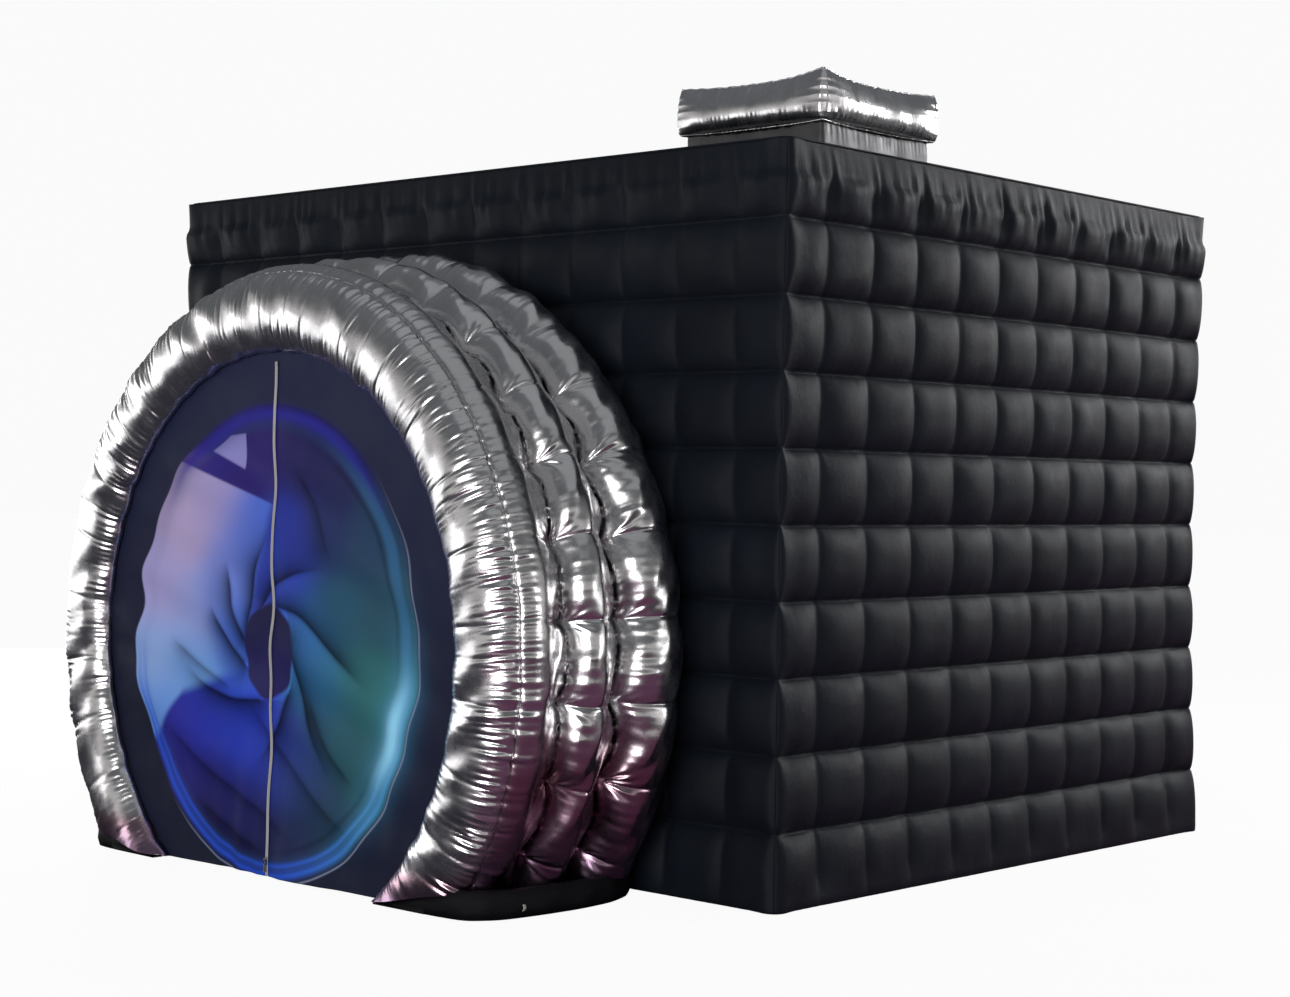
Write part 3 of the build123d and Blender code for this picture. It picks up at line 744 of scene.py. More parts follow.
def star_folds(turn, across, width, seed):
    """Small sharp folds that fan out from where each pinch seam meets a groove."""
    where = ((turn / PINCH_TURN + 0.5) % 1.0 - 0.5) * PINCH_TURN * 1.25
    total = np.zeros_like(turn)
    for groove in (0.0, 1.0):
        ahead = (across - groove) * width
        distance = np.hypot(where, ahead) + 1e-6
        bearing = np.arctan2(where, ahead)
        wobble = 1.6 * ripple(turn, 0.4, seed=seed)
        fold = np.cos(10 * bearing + wobble)
        reach = np.exp(-(((distance - 0.028) / 0.032) ** 2))
        total += np.sign(fold) * np.abs(fold) ** 0.7 * reach
    return total


def ring_grid(start, end, rise, shape, start_seam, end_seam, count, turns, relief):
    """A ring panel between two seams. start and end are (y, radius), rise is how far the panel
    stands off the straight line between them, and shape gives the rise's share along it."""
    share = (1 - np.cos(np.linspace(0, math.pi, count))) / 2 * 0.7 + np.linspace(0, 1, count) * 0.3
    start, end = np.array(start, float), np.array(end, float)
    chord = end - start
    normal = np.array([-chord[1], chord[0]]) / np.hypot(*chord)
    base = start + share[:, None] * chord
    ends = end_turn(base[:, 1] + rise * shape(share) * normal[1])
    turn = np.linspace(-1, 1, turns)[:, None] * ends[None, :]
    across = np.broadcast_to(share[None, :], turn.shape)
    off_seams = smooth_step(np.minimum(across, 1 - across), 0, 0.05)
    lift = rise * shape(across) + relief(turn, across) * off_seams
    y = base[None, :, 0] + lift * normal[0]
    radius = base[None, :, 1] + lift * normal[1]
    near_start = 1 - smooth_step(across, 0, 0.4)
    near_end = smooth_step(across, 0.6, 1.0)
    for seam, weight in ((start_seam, near_start), (end_seam, near_end)):
        shift_y, shift_out = seam_shift(turn, seam)
        y = y + weight * shift_y
        radius = radius + weight * shift_out
    return barrel_grid(y, radius, turn)


def ring_panel(name, material, nodes, **shape):
    """One silver panel of the barrel, which stands for the named CAD nodes."""
    piece = grid_object(name, ring_grid(**shape))
    return dress(piece, material, FOIL_CLOTH, "booth", "silver_foil", *nodes)


def tube_side(share):
    """A tube's cross-section: steep in front, with a longer slope down to the groove behind it."""
    s = 2 * share**0.70 - 1
    front = np.clip(1 - np.abs(s) ** 2.1, 0, 1) ** 0.62
    back = np.clip(1 - np.abs(s) ** 1.45, 0, 1) ** 0.90
    return np.where(s < 0, front, back)


def front_side(share):
    """The front ring's side panel: a gentler start than a tube's, behind the face."""
    s = 2 * share**0.75 - 1
    front = np.clip(1 - np.abs(s) ** 2.1, 0, 1) ** 0.9
    back = np.clip(1 - np.abs(s) ** 1.45, 0, 1) ** 0.90
    return np.where(s < 0, front, back)


def face_round(share):
    """The front ring's face: rounded evenly from seam to seam."""
    return np.sqrt(np.clip(1 - np.abs(2 * share - 1) ** 2.1, 0, 1))


def beside_pinch(turn, radius):
    """Distance to the nearest pinch seam along an arc of the given radius."""
    share = (turn / PINCH_TURN) % 1.0
    return np.minimum(share, 1 - share) * PINCH_TURN * radius


def side_relief(seed, width, gathers=False):
    """Hollows along the pinch seams, star folds at their ends and small gathers at the grooves."""

    def relief(turn, across):
        arc = turn * 1.27
        crease = np.exp(-((beside_pinch(turn, 1.27) / 0.006) ** 2))
        lift = -0.009 * pinch(turn, 2.6) - 0.0035 * crease
        strength = 0.5 + ripple(arc, 0.5, seed=seed + 7)
        lift = lift + 0.0030 * star_folds(turn, across, width, seed) * strength
        lift = lift + 0.003 * ripple(arc + across * 0.4, 0.20, seed=seed + 1)
        edge = np.exp(-np.minimum(across, 1 - across) / 0.10)
        lift = lift + 0.0009 * creased(arc, 0.022, 12, seed + 4) * edge
        if gathers:
            lift = lift * smooth_step(across, 0.15, 0.9)
            near_face = np.exp(-across / (0.05 + 0.06 * np.abs(ripple(arc, 0.06, seed=seed + 6))))
            folds = creased(arc + 0.04 * across, 0.026, 14, seed + 2)
            lift = lift + 0.0014 * folds * near_face
        return lift

    return relief


def face_relief(turn, across):
    """The front ring's face: fine gathers that run in from its two seams."""
    arc = turn * 1.12
    reach_out = 0.10 + 0.24 * np.abs(ripple(arc, 0.06, seed=61))
    reach_in = 0.07 + 0.18 * np.abs(ripple(arc, 0.07, seed=62))
    from_outside = np.exp(-(((1 - across) / reach_out) ** 2))
    from_inside = np.exp(-((across / reach_in) ** 2))
    lift = 0.0029 * creased(arc + 0.03 * across, 0.026, 14, 63) * from_outside
    lift += 0.0014 * creased(arc - 0.02 * across, 0.013, 14, 64) * from_outside
    lift += 0.0022 * creased(arc, 0.020, 14, 65) * from_inside
    lift += 0.0035 * ripple(arc + 0.2 * across, 0.22, seed=66)
    crease = np.exp(-((beside_pinch(turn, 1.12) / 0.005) ** 2))
    lift += -0.0022 * crease - 0.0015 * pinch(turn, 8)
    return lift


seam_y = open_y + 0.024
face_seam = (seam_y, 1.236)
groove_radius = 1.196
turns = int(1500 * DENSE)
ring_panel(
    "front_ring_face_panel", face_foil, ["front_ring_face"],
    start=(open_y + 0.004, opening_radius + 0.002), end=face_seam, rise=0.082, shape=face_round,
    start_seam="mouth", end_seam="face", count=int(60 * DENSE), turns=turns, relief=face_relief,
)
ring_panel(
    "front_ring_side_panel", silver_foil, ["front_ring_side"],
    start=face_seam, end=(first_groove, groove_radius), rise=0.044, shape=front_side,
    start_seam="face", end_seam="first", count=int(48 * DENSE), turns=turns,
    relief=side_relief(71, 0.21, True),
)
ring_panel(
    "middle_ring_foil", silver_foil, ["middle_ring_panel"],
    start=(first_groove, groove_radius), end=(second_groove, groove_radius), rise=0.112, shape=tube_side,
    start_seam="first", end_seam="second", count=int(52 * DENSE), turns=turns,
    relief=side_relief(81, 0.235),
)
ring_panel(
    "rear_ring_foil", silver_foil, ["rear_ring_panel"],
    start=(second_groove, groove_radius), end=(front_y + 0.045, 1.20), rise=0.142, shape=tube_side,
    start_seam="second", end_seam="wall", count=int(56 * DENSE), turns=turns,
    relief=side_relief(91, 0.29),
)


def seam_ribbon(name, seam, y, radius, tall):
    """The sewn edges of two panels, which stand up in the groove between them."""
    turn = np.linspace(-1, 1, turns)[:, None] * end_turn(np.full(3, radius))[None, :]
    shift_y, shift_out = seam_shift(turn, seam)
    rise = np.array([-0.004, tall / 2, tall])[None, :] + 0.0015 * ripple(turn, 0.02, 12, seed=77)
    lean = np.array([0, 0.001, 0.004])[None, :] * ripple(turn, 0.05, seed=78)
    piece = grid_object(name, barrel_grid(y + shift_y + lean, radius + shift_out + rise, turn))
    return dress(piece, silver_foil, 0.0014, "booth", "silver_foil", offset=0.0)


seam_ribbon("first_groove_seam", "first", first_groove, groove_radius, 0.009)
seam_ribbon("second_groove_seam", "second", second_groove, groove_radius, 0.009)
seam_ribbon("face_seam", "face", face_seam[0], face_seam[1], 0.004)


def groove_webs():
    """The two ring-shaped webs inside the barrel, from each groove in to the liner."""
    points, faces = [], []
    for seam, y in (("first", first_groove), ("second", second_groove)):
        radii = np.array([opening_radius + 0.006, 1.08, groove_radius - 0.004])
        turn = np.linspace(-1, 1, 500)[:, None] * (end_turn(radii) - 0.004)[None, :]
        shift_y, shift_out = seam_shift(turn, seam)
        weight = np.array([0, 0.5, 1])[None, :]
        grid = barrel_grid(y + shift_y * weight, radii[None, :] + shift_out * weight, turn)
        faces.extend(grid_faces(500, 3, len(points)))
        points.extend(grid.reshape(-1, 3))
    piece = make_object("groove_webs", points, faces)
    return dress(piece, black_lining, WEB_CLOTH, "booth", "web_fabric", "ring_webs")


groove_webs()


def tunnel():
    """The tunnel's lining, from the curtain through the front wall, drawn out at each web."""
    share = np.linspace(0, 1, int(150 * DENSE))
    y = open_y + 0.004 + share * (room_front - open_y - 0.006)
    sections = [open_y, first_groove, second_groove, front_y, room_front]
    nearest = np.min(np.abs(y[:, None] - np.array(sections)[None, :]), 1)
    fall = 0.006 * np.exp(-nearest / 0.04)
    radius = opening_radius + 0.003 + fall - 0.012 * smooth_step(nearest, 0.0, 0.10)
    ends = end_turn(radius)
    turn = np.linspace(-1, 1, int(420 * DENSE))[:, None] * ends[None, :]
    wave = 0.003 * ripple(turn, 0.05, 12, seed=401) * np.exp(-nearest / 0.05)[None, :]
    wave = wave + 0.004 * ripple(turn + 0.2 * y[None, :], 0.3, seed=402)
    grid = barrel_grid(np.broadcast_to(y, turn.shape), radius + wave, turn)
    piece = grid_object("tunnel_lining", grid, flip=True)
    return dress(piece, black_lining, LINING_CLOTH, "booth", "black_lining", "tunnel_liner")


tunnel()


# How far out the flat bottom of each base reaches from the doorway
BOTTOM_EDGE_X = 0.60


def base_tray(side):
    """The black base that carries one foot of the barrel: a low wall that rises outward from
    the doorway, gathered a little, and a flat bottom."""
    corners = np.array(
        [(0.585, -1.742), (0.66, -1.772), (0.85, -1.792), (1.02, -1.775), (1.085, -1.68), (1.108, -1.52),
         (1.118, -1.36), (1.105, -1.20), (1.060, -1.08), (1.0, -1.002)]
    )
    if side < 0:
        corners[:, 0] = np.minimum(corners[:, 0], 0.96 + 0.2 * (corners[:, 0] - 0.96))
    place = np.linspace(0, len(corners) - 1, 160)
    knots = np.arange(len(corners))
    outline = np.stack([np.interp(place, knots, corners[:, i]) for i in (0, 1)], -1)
    for _ in range(30):
        outline[1:-1] = 0.25 * outline[:-2] + 0.5 * outline[1:-1] + 0.25 * outline[2:]
    tangent = np.gradient(outline, axis=0)
    normal = np.stack([-tangent[:, 1], tangent[:, 0]], -1) / np.hypot(*tangent.T)[:, None]
    top = foot_height(outline[:, 0]) + 0.022
    # share of the height, how far inward, and how crumpled; the first is the flat bottom's edge
    levels = [
        (0.0, 0.0, 0.0), (0.0, 0.0, 0.0), (0.30, -0.008, 0.004),
        (0.65, -0.006, 0.004), (0.9, 0.004, 0.003), (1.0, 0.020, 0.0),
    ]
    rows = []
    for number, (share, inward, crumple) in enumerate(levels):
        wave = crumple * ripple(place, 0.9, seed=500 + number)
        flat = outline + (inward + wave)[:, None] * normal
        if number == 0:
            flat = np.stack([np.minimum(outline[:, 0], BOTTOM_EDGE_X), outline[:, 1]], -1)
        rows.append(np.c_[side * flat[:, 0], flat[:, 1], 0.002 + share * (top - 0.002)])
    piece = grid_object(f"base_tray_{'left' if side < 0 else 'right'}", np.stack(rows), flip=side > 0)
    return dress(piece, base_cloth, 0.002, "booth", "black_oxford", "lens_base_trays", offset=1.0)


base_tray(-1)
base_tray(1)


def tie_loop(side):
    """A narrow webbing loop sewn to the base's side."""
    low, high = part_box("base_loops")
    angle = np.linspace(0, math.pi, 24)
    centre_z = (low.z + high.z) / 2
    reach = high.x
    loop_x = reach - 0.018 + 0.022 * np.sin(angle)
    loop_y = np.full_like(angle, low.y + 0.01)
    path = np.stack([loop_x, loop_y, centre_z - 0.015 * np.cos(angle)], -1)
    rows = []
    for offset in (-0.006, -0.002, 0.002, 0.006):
        row = path.copy()
        row[:, 1] += offset
        row[:, 0] *= side
        rows.append(row)
    piece = grid_object(f"tie_loop_{'left' if side < 0 else 'right'}", np.stack(rows))
    return dress(piece, pale_webbing, 0.0015, "booth", "pale_webbing", "base_loops", offset=0.0)


tie_loop(-1)
tie_loop(1)


# ------------------------------------------------------------------ door curtain and print
def srgb(r, g, b):
    """An 8-bit screen colour as linear light."""
    c = np.array([r, g, b], float) / 255
    return np.where(c <= 0.04045, c / 12.92, ((c + 0.055) / 1.055) ** 2.4)


def mix(a, b, share):
    """Colour a turned into colour b by share."""
    share = np.asarray(share)[..., None]
    return a * (1 - share) + b * share


# Pools of colour in the printed glass: x and z in metres, and an 8-bit screen colour
GLASS_POOLS = [
    (-0.12, 1.45, 48, 38, 112), (-0.39, 1.53, 52, 42, 130), (0.15, 1.45, 40, 38, 92),
    (0.33, 1.37, 38, 40, 84), (0.07, 1.16, 46, 60, 158), (0.07, 1.02, 50, 70, 176),
    (0.28, 1.16, 38, 50, 98), (0.49, 1.16, 40, 66, 95), (0.57, 0.92, 44, 80, 98),
    (0.33, 0.94, 44, 88, 110), (0.17, 0.84, 54, 108, 172), (0.28, 0.70, 48, 102, 145),
    (0.44, 0.70, 48, 104, 108), (0.57, 0.65, 54, 112, 112), (0.39, 0.52, 46, 90, 104),
    (0.49, 0.41, 46, 90, 96), (0.20, 0.36, 44, 66, 108), (0.33, 0.20, 40, 66, 88),
    (0.15, 0.12, 38, 46, 82), (0.07, 0.41, 50, 66, 150), (-0.12, 0.46, 42, 64, 188),
    (-0.33, 0.52, 42, 58, 184), (-0.47, 0.46, 44, 46, 156), (-0.52, 0.33, 44, 40, 118),
    (-0.31, 0.30, 40, 38, 110), (-0.12, 0.25, 40, 42, 106), (-0.33, 0.14, 34, 34, 82),
    (-0.07, 0.09, 34, 36, 80), (-0.25, 0.75, 58, 96, 205), (-0.10, 0.95, 52, 70, 170),
]
WINDOW_POOLS = [
    (-0.49, 1.18, 182, 166, 208), (-0.33, 1.26, 168, 156, 206), (-0.65, 0.97, 170, 162, 214),
    (-0.47, 0.89, 152, 162, 220), (-0.65, 0.73, 144, 174, 228), (-0.47, 0.70, 112, 162, 228),
    (-0.20, 1.16, 104, 126, 216), (-0.23, 0.86, 70, 110, 212), (-0.09, 1.16, 70, 105, 208),
    (-0.62, 0.52, 104, 150, 226), (-0.30, 1.00, 120, 140, 218),
]
# Edges of the overlapping blades: points from the aperture outward
BLADE_EDGES = [
    [(-0.14, 0.82), (-0.12, 0.97), (-0.08, 1.09), (-0.01, 1.23)],
    [(-0.06, 0.93), (0.00, 1.00), (0.12, 1.05), (0.31, 1.075)],
    [(0.03, 0.93), (0.15, 0.91), (0.31, 0.795), (0.49, 0.69), (0.60, 0.62)],
    [(0.10, 0.82), (0.14, 0.67), (0.21, 0.515), (0.33, 0.30)],
    [(0.08, 0.63), (0.05, 0.54), (-0.10, 0.35)],
    [(-0.07, 0.605), (-0.23, 0.595), (-0.39, 0.635), (-0.53, 0.73)],
    [(-0.17, 0.73), (-0.24, 0.78), (-0.32, 0.875), (-0.35, 0.93)],
    [(-0.16, 0.82), (-0.23, 0.915), (-0.26, 1.02), (-0.265, 1.09)],
]
# Painted shade along the creases that run down across the lower half of the cloth
PAINTED_CREASE_SHADE_LINES = [
    [(-0.62, 0.50), (-0.38, 0.36), (-0.10, 0.25), (0.16, 0.12)],
    [(-0.16, 0.62), (0.04, 0.44), (0.24, 0.28), (0.46, 0.16)],
    [(0.16, 0.66), (0.30, 0.46), (0.44, 0.34)],
    [(-0.44, 0.24), (-0.22, 0.15), (0.02, 0.07)],
    [(0.10, 1.42), (0.22, 1.26), (0.30, 1.08)],
    [(-0.60, 0.80), (-0.40, 0.70), (-0.20, 0.62)],
]


def pooled(x, z, pools, spread):
    """Colour between pools of colour, each fading into the next."""
    total = np.zeros(x.shape + (3,))
    weight = np.zeros(x.shape)
    for pool_x, pool_z, *tone in pools:
        share = np.exp(-((x - pool_x) ** 2 + (z - pool_z) ** 2) / (2 * spread**2)) + 1e-9
        total += share[..., None] * srgb(*tone)
        weight += share
    return total / weight[..., None]


def bent_line(points, steps=24):
    """A smooth line through a few points."""
    points = np.array(points, float)
    place = np.linspace(0, len(points) - 1, steps)
    line = np.stack([np.interp(place, np.arange(len(points)), points[:, i]) for i in (0, 1)], -1)
    for _ in range(4):
        line[1:-1] = 0.25 * line[:-2] + 0.5 * line[1:-1] + 0.25 * line[2:]
    return line


def beside_line(x, z, line):
    """Distance to a line, which side of it (1 to its left), and how far along it, 0 to 1."""
    closest = np.full(x.shape, 9.0)
    side = np.zeros(x.shape)
    along = np.zeros(x.shape)
    for number, (start, end) in enumerate(zip(line[:-1], line[1:])):
        run = end - start
        length = max(float(run @ run), 1e-12)
        share = np.clip(((x - start[0]) * run[0] + (z - start[1]) * run[1]) / length, 0, 1)
        far = np.hypot(x - start[0] - share * run[0], z - start[1] - share * run[1])
        left = np.sign(run[0] * (z - start[1]) - run[1] * (x - start[0]))
        near = far < closest
        closest = np.where(near, far, closest)
        side = np.where(near, left, side)
        along = np.where(near, (number + share) / (len(line) - 1), along)
    return closest, side, along


# Overall brightening of the print under this studio's light
PRINT_STRENGTH = 1.55


def lens_colour(x, z):
    """The printed lens: a dark barrel edge, a glass disc with overlapping blades round a dark
    aperture, a window reflected on its left and a bright rim low on its right, with painted
    shade along the cloth's creases."""
    wobble = 0.014 * ripple(z, 0.30, 5, seed=5) * smooth_step(-x, 0.60, 0.78)
    u = (x + 0.018) / barrel_narrow / 0.975 + wobble
    w = (z - axis_z) / barrel_tall
    radius = np.hypot(u, w)
    angle = np.arctan2(w, u)
    border = mix(srgb(30, 33, 52), srgb(38, 42, 68), smooth_step(w, -0.4, 0.9))
    colour = np.broadcast_to(border, x.shape + (3,)).copy()
    glass = pooled(x, z, GLASS_POOLS, 0.085)

    # window reflection: a crisp top edge, soft elsewhere
    top = np.interp(x, [-0.9, -0.493, -0.027, 0.2], [1.53, 1.416, 1.283, 1.22])
    foot = np.interp(x, [-0.9, -0.66, -0.60, -0.50, -0.30, -0.15], [0.36, 0.43, 0.49, 0.60, 0.66, 0.70])
    edge = np.interp(z, [0.70, 0.90, 1.10, 1.28], [-0.17, -0.14, -0.07, -0.015])
    window = smooth_step(top - z, -0.004, 0.004) * smooth_step(z - foot, -0.02, 0.03)
    window = window * smooth_step(edge - x, -0.03, 0.03)
    glass = mix(glass, pooled(x, z, WINDOW_POOLS, 0.085), window)
    small_top = np.interp(x, [-0.36, -0.26, -0.165], [1.46, 1.515, 1.523])
    small_foot = np.interp(x, [-0.36, -0.18], [1.462, 1.398])
    small = smooth_step(small_top - z, -0.003, 0.003) * smooth_step(z - small_foot, -0.003, 0.003)
    small_edge = -0.168 - 0.12 * (1.52 - z)
    small = small * smooth_step(small_edge - x, -0.003, 0.003) * smooth_step(x + 0.37, 0, 0.02)
    glass = mix(glass, srgb(150, 146, 212), small * 0.92)
    ghost = np.exp(-((x + 0.47) ** 2 / 0.006 + (z - 1.44) ** 2 / 0.0012))
    glass = mix(glass, srgb(120, 92, 170), ghost * 0.6)

    # blades: each edge is dark on its far side and lighter on the near one
    hub_x, hub_z = -0.02, 0.775
    hub = np.hypot((x - hub_x) / 0.135, (z - hub_z) / 0.165)
    for edge_points in BLADE_EDGES:
        distance, side, along = beside_line(x, z, bent_line(edge_points))
        fade = smooth_step(1 - along, 0, 0.45) * smooth_step(4.4 - hub, 0, 1.8)
        shade = np.where(side > 0, np.exp(-distance / 0.055), np.exp(-distance / 0.009)) * fade
        glass = glass * (1 - 0.90 * shade)[..., None]
        lit = np.where(side < 0, np.exp(-distance / 0.07), 0) * fade
        glass = glass * (1 + 0.40 * lit)[..., None]

    # painted shade along the creases of the hanging cloth, darker on one side
    for shaded_crease_points in PAINTED_CREASE_SHADE_LINES:
        distance, side, along = beside_line(x, z, bent_line(shaded_crease_points))
        fade = smooth_step(along, 0, 0.25) * smooth_step(1 - along, 0, 0.25)
        shade = np.where(side < 0, np.exp(-distance / 0.040), np.exp(-distance / 0.010)) * fade
        glass = glass * (1 - 0.60 * shade)[..., None]

    # aperture
    lobes = 0.025 * np.cos(len(BLADE_EDGES) * np.arctan2(z - hub_z, x - hub_x) + 0.6)
    hole = smooth_step(1 - hub + lobes, -0.04, 0.06)
    hole_tone = mix(srgb(42, 38, 92), srgb(32, 32, 70), smooth_step(z, 0.66, 0.9))
    glass = mix(glass, hole_tone, hole)

    # rims of the glass
    top_shade = smooth_step(radius, 0.66, 0.80) * smooth_step(np.sin(angle), 0.2, 0.9)
    glass = glass * (1 - 0.45 * top_shade)[..., None]
    colour = mix(colour, glass, smooth_step(0.798 - radius, -0.005, 0.005))
    right_side = smooth_step(np.cos(angle - 0.05), 0.35, 0.95)
    band = smooth_step(radius, 0.700, 0.728) * smooth_step(0.762 - radius, -0.012, 0.012)
    colour = mix(colour, srgb(58, 112, 158), band * (0.08 + 0.46 * right_side))
    inner_dark = np.exp(-(((radius - 0.694) / 0.010) ** 2))
    inner_dark = inner_dark * smooth_step(np.cos(angle + 0.2), 0.0, 0.8)
    colour = colour * (1 - 0.35 * inner_dark)[..., None]
    low_side = smooth_step(-np.sin(angle), -0.1, 0.5)
    left_low = smooth_step(-np.sin(angle) - 0.6 * np.cos(angle), 0.2, 1.0)
    low_tone = mix(srgb(74, 146, 206), srgb(44, 88, 214), left_low)
    for line_radius, width, strength in ((0.742, 0.010, 0.75), (0.775, 0.013, 0.85), (0.758, 0.004, 0.3)):
        line = np.exp(-(((radius - line_radius) / width) ** 2))
        colour = mix(colour, low_tone, line * strength * low_side)
    glow_turn = np.abs(angle + 0.35)
    glow = np.exp(-((glow_turn / 0.20) ** 2)) * np.exp(-(((radius - 0.735) / 0.034) ** 2))
    colour = mix(colour, 1.5 * srgb(160, 220, 244), glow)
    halo = np.exp(-((glow_turn / 0.42) ** 2)) * np.exp(-(((radius - 0.74) / 0.085) ** 2))
    colour = mix(colour, srgb(70, 150, 196), halo * 0.45)
    top_arc = smooth_step(np.sin(angle), 0.45, 0.95)
    top_band = np.exp(-(((radius - 0.765) / 0.024) ** 2))
    colour = mix(colour, srgb(44, 42, 150), top_band * top_arc * 0.8)
    # thin pale circle outside the glass
    drawn = np.exp(-(((radius - 0.806) / 0.0030) ** 2)) * smooth_step(0.75 - np.sin(angle), 0, 0.5)
    drawn = drawn * smooth_step(np.cos(angle) + 0.75, 0, 0.3)
    return PRINT_STRENGTH * mix(colour, srgb(150, 158, 188), drawn * 0.7)


def cloth_fall(x, z):
    """How far the curtain stands behind its plane: long soft folds and the slack at its foot."""
    fold = 0.010 * ripple(0.62 * x + 0.78 * z, 0.50, 5, seed=201)
    fold += 0.005 * ripple(0.30 * x + 0.95 * z, 0.24, 5, seed=202)
    fold += 0.0035 * ripple(x - 0.15 * z, 0.16, 6, seed=203) * smooth_step(-z, -0.7, 0.0)
    near_edge = smooth_step(np.hypot(x / barrel_narrow, (z - axis_z) / barrel_tall), 0.80, opening_radius)
    near_zip = np.exp(-((x / 0.06) ** 2))
    return 0.010 + fold * (1 - 0.75 * near_edge) * (1 - 0.6 * near_zip)


def zip_wave(z):
    """How far the zip wanders from the centre line."""
    free = smooth_step(z, 0.05, 0.2) * smooth_step(zip_top - z, 0.0, 0.15)
    return 0.005 * ripple(z, 0.42, 4, seed=301) * free


def curtain_half(name, side):
    """One half of the printed door, from the zip to the ring, blended across its fold."""
    low = ground_z + 0.004
    top = axis_z + barrel_tall * (opening_radius + 0.004)
    rows = np.linspace(low, top, int(380 * DENSE))
    share = np.linspace(0, 1, int(210 * DENSE))
    v, u = np.meshgrid(rows, share, indexing="ij")
    edge = barrel_narrow * np.sqrt(
        np.maximum((opening_radius + 0.006) ** 2 - ((v - axis_z) / barrel_tall) ** 2, 1e-6)
    )
    start = side * zip_wave(v) + 0.003 * smooth_step(zip_top - v, 0, 0.02)
    x = side * (start + u * (edge - start))
    y = open_y + cloth_fall(x, v)
    grid = np.stack([x, y, v], -1)
    piece = grid_object(name, grid, flip=side < 0)
    colours = np.ones((grid.shape[0] * grid.shape[1], 4), np.float32)
    colours[:, :3] = lens_colour(x, v).reshape(-1, 3)
    layer = piece.data.color_attributes.new("lens_colour", "FLOAT_COLOR", "POINT")
    layer.data.foreach_set("color", colours.reshape(-1))
    paint(piece, lens_print)
    thicken(piece, PRINT_CLOTH)
    return piece


for side, name in ((-1, "left"), (1, "right")):
    half = curtain_half(f"lens_curtain_{name}", side)
    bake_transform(half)
    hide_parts(f"door_curtain_{name}", f"door_flap_{name}")


def zip_coil(name, side, start, end, body):
    """One half of the door's coil zip: a ridged bead along the cloth's edge."""
    z = np.arange(start, end, 0.0012)
    angle = np.linspace(0, 2 * math.pi, 9)
    v, a = np.meshgrid(z, angle, indexing="ij")
    radius = 0.0031 * (1 + 0.13 * np.sin(2 * math.pi * v / 0.0048))
    x = side * 0.0034 + zip_wave(v) + radius * np.cos(a)
    y = open_y + cloth_fall(0 * v, v) - 0.0032 + 0.8 * radius * np.sin(a)
    piece = grid_object(name, np.stack([x, y, v], -1), flip=True)
    paint(piece, pale_tape)
    return finish_piece(piece, body, "pale_zip")


def zip_cloth(name, side):
    """The woven tape behind the cloth's edge that carries one coil."""
    low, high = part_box("zip_tape_left")
    v, u = np.meshgrid(np.linspace(low.z, high.z, 240), np.linspace(0.001, 0.017, 5), indexing="ij")
    x = side * u + zip_wave(v)
    y = open_y + cloth_fall(x, v) + 0.0022
    piece = grid_object(name, np.stack([x, y, v], -1))
    paint(piece, black_tape)
    thicken(piece, 0.0008, 0.0)
    hand = "left" if side < 0 else "right"
    return finish_piece(piece, f"door_flap_{hand}", "black_zip", f"zip_tape_{hand}")


for side, name in ((-1, "left"), (1, "right")):
    coil_foot, coil_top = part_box("zip_tape_left")[0].z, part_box("zip_top_stop")[1].z - 0.004
    zip_coil(f"zip_coil_{name}", side, coil_foot, zip_top - 0.010, f"door_flap_{name}")
    zip_coil(f"zip_coil_end_{name}", side, zip_top - 0.010, coil_top, "booth")
    zip_cloth(f"zip_backing_{name}", side)


def sewn_patch(name, centre, half_x, half_z, y, material, body, slot, *nodes):
    """A small stitched patch with rounded corners, facing -Y."""
    radii = np.linspace(0, 1, 8)
    turn = np.linspace(0, 2 * math.pi, 49)
    r, t = np.meshgrid(radii, turn, indexing="ij")
    power = 4.0
    scale = (np.abs(np.cos(t)) ** power + np.abs(np.sin(t)) ** power) ** (-1 / power)
    x = centre[0] + half_x * r * scale * np.cos(t)
    z = centre[1] + half_z * r * scale * np.sin(t)
    puff = 0.0012 * np.clip(1 - r**6, 0, 1) - 0.0008 * np.exp(-(((r - 0.80) / 0.05) ** 2))
    piece = grid_object(name, np.stack([x, y - puff, z], -1))
    return dress(piece, material, 0.0008, body, slot, *nodes, offset=1.0)


border_tape = cloth_material("border_tape", (0.013, 0.015, 0.034), (0.017, 0.020, 0.044), 0.6, 0.02)
stop_low, stop_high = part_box("zip_top_stop")
stop_centre = ((stop_low.x + stop_high.x) / 2, (stop_low.z + stop_high.z) / 2)
sewn_patch(
    "zip_end_patch", stop_centre, 0.011, 0.009, open_y + 0.008, border_tape,
    "booth", "black_zip", "zip_top_stop",
)


# ------------------------------------------------------------------ roof cushion
cushion_low, cushion_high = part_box("viewfinder_cushion")
plinth_low, plinth_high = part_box("viewfinder_plinth")
cushion_x = (cushion_low.x + cushion_high.x) / 2
cushion_y = (cushion_low.y + cushion_high.y) / 2
cushion_half = (cushion_high.x - cushion_low.x) / 2


def square_path(place, half, pull, corner):
    """A point on a square outline whose sides draw in by pull between rounded corners.
    place runs from 0 to 4, one per side, starting at the front left corner; also its outward way."""
    side = np.floor(place) % 4
    along = place % 1.0 * 2 - 1
    reach = half - pull * np.clip(1 - np.abs(along) ** 3, 0, 1)
    first, second = along * half, -reach
    turns = side * math.pi / 2
    x = first * np.cos(turns) - second * np.sin(turns)
    y = first * np.sin(turns) + second * np.cos(turns)
    x, y = rounded_corner(x, y, half, half, corner)
    away_x, away_y = np.sin(turns), -np.cos(turns)
    return x, y, away_x, away_y, along


